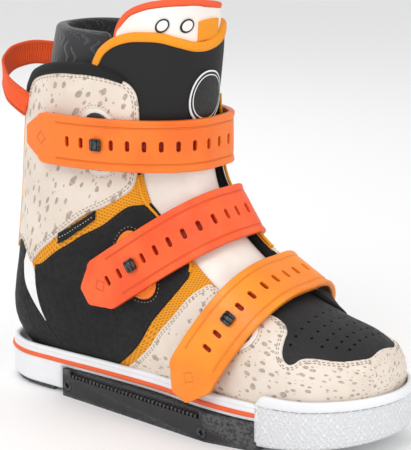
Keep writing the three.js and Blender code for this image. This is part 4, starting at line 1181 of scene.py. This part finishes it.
def toe_bumper():
    """The tall toe piece and the band on top of it, with rounded rear ends and a top that rises forward."""
    front = rolled_to(84, -54.5)
    front = front[front[:, 0] > 84]
    reach = lengths(front)
    ends = smooth(0, 7, reach) * smooth(0, 7, reach[-1] - reach)
    climb = 1 + 0.1 * smooth(110, 155, front[:, 0])
    # Across the piece from its foot to its top: how far along, and how much of its thickness it stands out.
    swell = ((0, -0.5), (0, 0.55), (0.06, 0.88), (0.14, 1.0), (0.5, 1.0), (0.86, 1.0), (0.94, 0.88),
             (1, 0.55), (1, -0.5))
    for name, low, high, proud, centre, at_ends, key in (
            ("toe_bumper_wall", 0.03, 1.03, 1.3, 0.5, 0.8, "bumper"),
            ("toe_bumper_band", 1.0, 1.26, 1.9, 1.0, 0.1, "white_rubber")):
        squeeze = at_ends + (1 - at_ends) * ends
        rings = []
        for t, out in swell:
            share = centre + (low + (high - low) * t - centre) * squeeze
            share = share * np.where(share > 0.5, climb, 1)
            distance = -proud * out * ends + 0.7 * (1 - ends) + max(0, t - 0.6)
            rings.append(wall_ring(distance, share, 0, front))
        settle(loft(name, rings, key, closed=False), ("toe_bumper",), "white_rubber")
    line = wall_ring(-0.95, 1.01 * climb, 0, front)[5:-5]
    verts, faces = [], []
    distance = lengths(line)
    for start in np.arange(2, distance[-1] - 5, 6.4):
        p, q = sampled(line, distance, start), sampled(line, distance, start + 4.4)
        t = unit(q - p)
        o = unit(np.array([t[1], -t[0], 0]))
        base = len(verts)
        for end in (p, q):
            for a, b in ((-0.4, -0.35), (0.25, -0.3), (0.25, 0.3), (-0.4, 0.35)):
                verts.append(end + o * a + np.array([0, 0, 1]) * b)
        faces += [tuple(base + k for k in f) for f in
                  ((0, 1, 5, 4), (1, 2, 6, 5), (2, 3, 7, 6), (3, 0, 4, 7), (0, 3, 2, 1), (4, 5, 6, 7))]
    settle(make_object("toe_bumper_dashes", np.array(verts), faces, "sole_black"))


sole()


# ---------- pull loop, back strip, badge, label ----------
def pull_loop():
    points = np.array([(-119, -33.6, 195), (-128, -33.5, 199), (-140, -31, 204), (-155, -20, 214),
                       (-161, -3, 221), (-156, 13, 224), (-141, 25, 222), (-130, 31.5, 218.5),
                       (-122, 33.2, 215)], float)
    points[:, 2] += LIFT
    distance = lengths(points)
    curve = softened(sampled(points, distance, np.linspace(0, distance[-1], 90)), 19)
    along = unit(np.gradient(curve, axis=0))
    up = unit(np.array([0, 0, 1.0]) - along * along[:, 2:])
    out = np.cross(along, up)
    w, t = 8.4, 0.95  # half the webbing's width and thickness
    outer = [(t * 0.5, -w), (t, 1 - w), (t, 2.2 - w), (t * 0.8, 2.8 - w), (t * 0.8, w - 2.8), (t, w - 2.2),
             (t, w - 1), (t * 0.5, w)]
    inner = [(-x, -z) for x, z in outer]
    shape = inner[-2:] + outer + inner[:-2]
    made = ribbon("heel_loop", curve, (out, up), shape, "webbing")
    settle(made, ("pull_loop",), "trim_fabric", "loop")


def rim():
    """The padded black rim above the cuff, on both sides, and the strip down the heel."""
    lateral = [(14.45, -180), (14.62, -158), (14.9, -138), (15.1, -128), (15.12, -101.5), (14.75, -80),
               (14.35, -66)]
    for side, pts in (("lateral", lateral), ("medial", to_medial(lateral))):
        line = spline(pts, False, 2.0)
        p, _, across, out = frames_on(line, on_shell(0.9), 0)
        upward = 1 if across[len(p) // 2][2] > 0 else -1
        shape = [(-3.0, -1.2), (-2.6, 0.5), (-0.6, 1.5), (1.5, 2.0), (3.6, 1.9), (5.4, 1.0), (6.3, -0.7),
                 (6.2, -2.6), (5.0, -4.0), (2.5, -4.4), (-2.5, -3.4)]
        taper = 0.55 + 0.45 * smooth(0, 10, np.arange(len(p))) * smooth(0, 10, np.arange(len(p))[::-1])
        made = ribbon(f"cuff_rim_{side}", p, (across * upward * taper[:, None], out), shape, "lining")
        settle(made, ("cuff_rim",), "black_synthetic")
    strip = [(14.78, -199, 1), (14.78, -161, 1), (13.4, -163), (12.05, -164, 1), (12.05, -196, 1),
             (13.4, -197)]
    made = slab("heel_strip", outline_of(strip, 2), on_shell(-0.1), 0, -1.6, "black", spacing=4)
    settle(made)
    for k, side in enumerate((-1, 1)):
        line = spline([(12.05, side * 158.5), (13.4, side * 158), (14.7, side * 157)], False, 2.0)
        settle(piping(f"heel_piping_{k}", line, on_shell(-0.3), 1.3))


def badge():
    """A plain round patch, with no mark on it."""
    s, a = 12.95, -2.5
    place = near_surface(s, a)(np.array([0, 1.0, 0]), np.array([0.07, 0, 0.99]), 1.15)
    circle = np.stack([np.cos(turns(48)), np.sin(turns(48))], 1)
    for name, radius, high, key in (("badge_ring", 17.6, 0.9, "badge_white"),
                                    ("badge_disc", 16.5, 1.05, "badge_black"),
                                    ("badge_inner_ring", 14.9, 1.2, "badge_white"),
                                    ("badge_field", 14.2, 1.35, "badge_black")):
        made = slab(name, circle * radius, place, high, -0.6, key, spacing=3, roll=0.3, scale=(1, 1))
        fold(made, ("badge",) if name == "badge_ring" else (), "white_plastic")


def label():
    corners = [(11.33, -96, 1), (11.2, -88), (11.14, -81, 1), (11.33, -80.5, 1), (11.4, -88),
               (11.53, -96.5, 1)]
    place = on_shell(-0.9)
    settle(slab("side_label", outline_of(corners, 1.5), place, 0, -2.2, "lining", spacing=3, roll=0.4))
    line = spline([(11.43, -95.6), (11.3, -88), (11.23, -81.5)], False, 1.5)
    settle(stitches("side_label_stitches", [line], place, 0.05, "thread_cream", length=1.1, gap=1.6,
                    width=0.22))


def throat_edges():
    """Yellow piping along the lace opening, and the black padded wall under its raised medial edge."""
    lateral = spline([(7.78, -51.5), (7.9, -47.6), (8.6, -47.2), (9.75, -49), (10.5, -53.3), (10.9, -54.6),
                      (11.3, -55)], False, 1.6)
    settle(piping("throat_piping_lateral", lateral, on_shell(0.9), 0.95))
    medial = spline([(s, np.interp(s, *zip(*MEDIAL_EDGE))) for s in np.linspace(6.8, 13.2, 12)], False, 1.6)
    settle(piping("throat_piping_medial", medial, on_shell(-0.2), 1.1))
    wing = [(4.25, 40, 1), (4.7, 27), (5.6, 21, 1), (5.9, 40), (5.7, 76, 1), (4.9, 70), (4.4, 56)]
    puffed = lambda u, v: 7.0 * smooth(4.25, 5.1, u) * np.exp(-((v - 44) / 20) ** 2)
    settle(slab("medial_lace_wing", outline_of(wing, 2), on_surface(-0.2), 0, -1.2, "lining", spacing=3,
                raised=puffed, roll=0.7))
    stations = np.linspace(4.9, 13.4, 60)
    edge = np.interp(stations, *zip(*MEDIAL_EDGE)) + 1.2
    rings = []
    for da, h in ((0.0, -0.9), (-0.9, -1.4), (-1.3, -3.0), (-0.6, -5.4), (1.5, -8.0), (5.0, -8.8),
                  (6.0, -6.5), (6.0, -2.4), (3.0, -1.3)):
        lift = shell_lift(stations, edge)
        depth = np.minimum(-h, lift + 2.2)
        rings.append(surface(stations, edge + da, -lift + depth))
    settle(loft("medial_lace_lining", rings, "lining", closed=False))


pull_loop()
rim()
badge()
label()
throat_edges()


# ---------- CAD nodes that stay ----------
FINISH = {"midsole": "sole_black", "base_plate": "sole_black", "heel_tread": "sole_black",
          "footbed": "lining"}
for node_name, node in frame["nodes"].items():
    if node.hide_render:
        continue
    key = FINISH.get(node_name, "steel" if "screw" in node_name else "plastic")
    node.data.materials.clear()
    node.data.materials.append(MATERIALS[key])
    bevel = node.modifiers.new("edges", "BEVEL")
    bevel.width = 0.00035 if "screw" in node_name else 0.0006
    bevel.segments = 2
    bevel.limit_method = "ANGLE"
    bevel.angle_limit = math.radians(40)


# ---------- floor and light ----------
def studio():
    mesh = bpy.data.meshes.new("floor")
    mesh.from_pydata([(-6, -6, 0), (6, -6, 0), (6, 6, 0), (-6, 6, 0)], [], [(0, 1, 2, 3)])
    floor_look = Maker("floor_paper", 0.9)
    floor_look.colour(linear("F6F6F6"))
    mesh.materials.append(floor_look.material)
    add_object("floor", mesh)
    world = bpy.data.worlds.new("studio")
    world.use_nodes = True
    world.node_tree.nodes["Background"].inputs["Color"].default_value = (1, 1, 1, 1)
    world.node_tree.nodes["Background"].inputs["Strength"].default_value = 0.8
    bpy.context.scene.world = world

    def lamp(name, position, target, size, power):
        data = bpy.data.lights.new(name, "AREA")
        data.shape, data.size, data.size_y, data.energy = "RECTANGLE", size[0], size[1], power
        obj = add_object(name, data)
        obj.location = position
        obj.rotation_euler = (Vector(position) - Vector(target)).to_track_quat("Z", "Y").to_euler()

    lamp("key", (0.1, -1.2, 1.3), (0, 0, 0.1), (1.0, 0.8), 9)
    lamp("side", (1.4, -0.2, 0.7), (0, 0, 0.12), (0.7, 0.9), 4)
    lamp("back", (-1.1, 0.5, 1.0), (0, 0, 0.15), (0.8, 0.8), 4)
    bpy.context.scene.view_settings.view_transform = "Standard"
    bpy.context.scene.view_settings.look = "None"


studio()
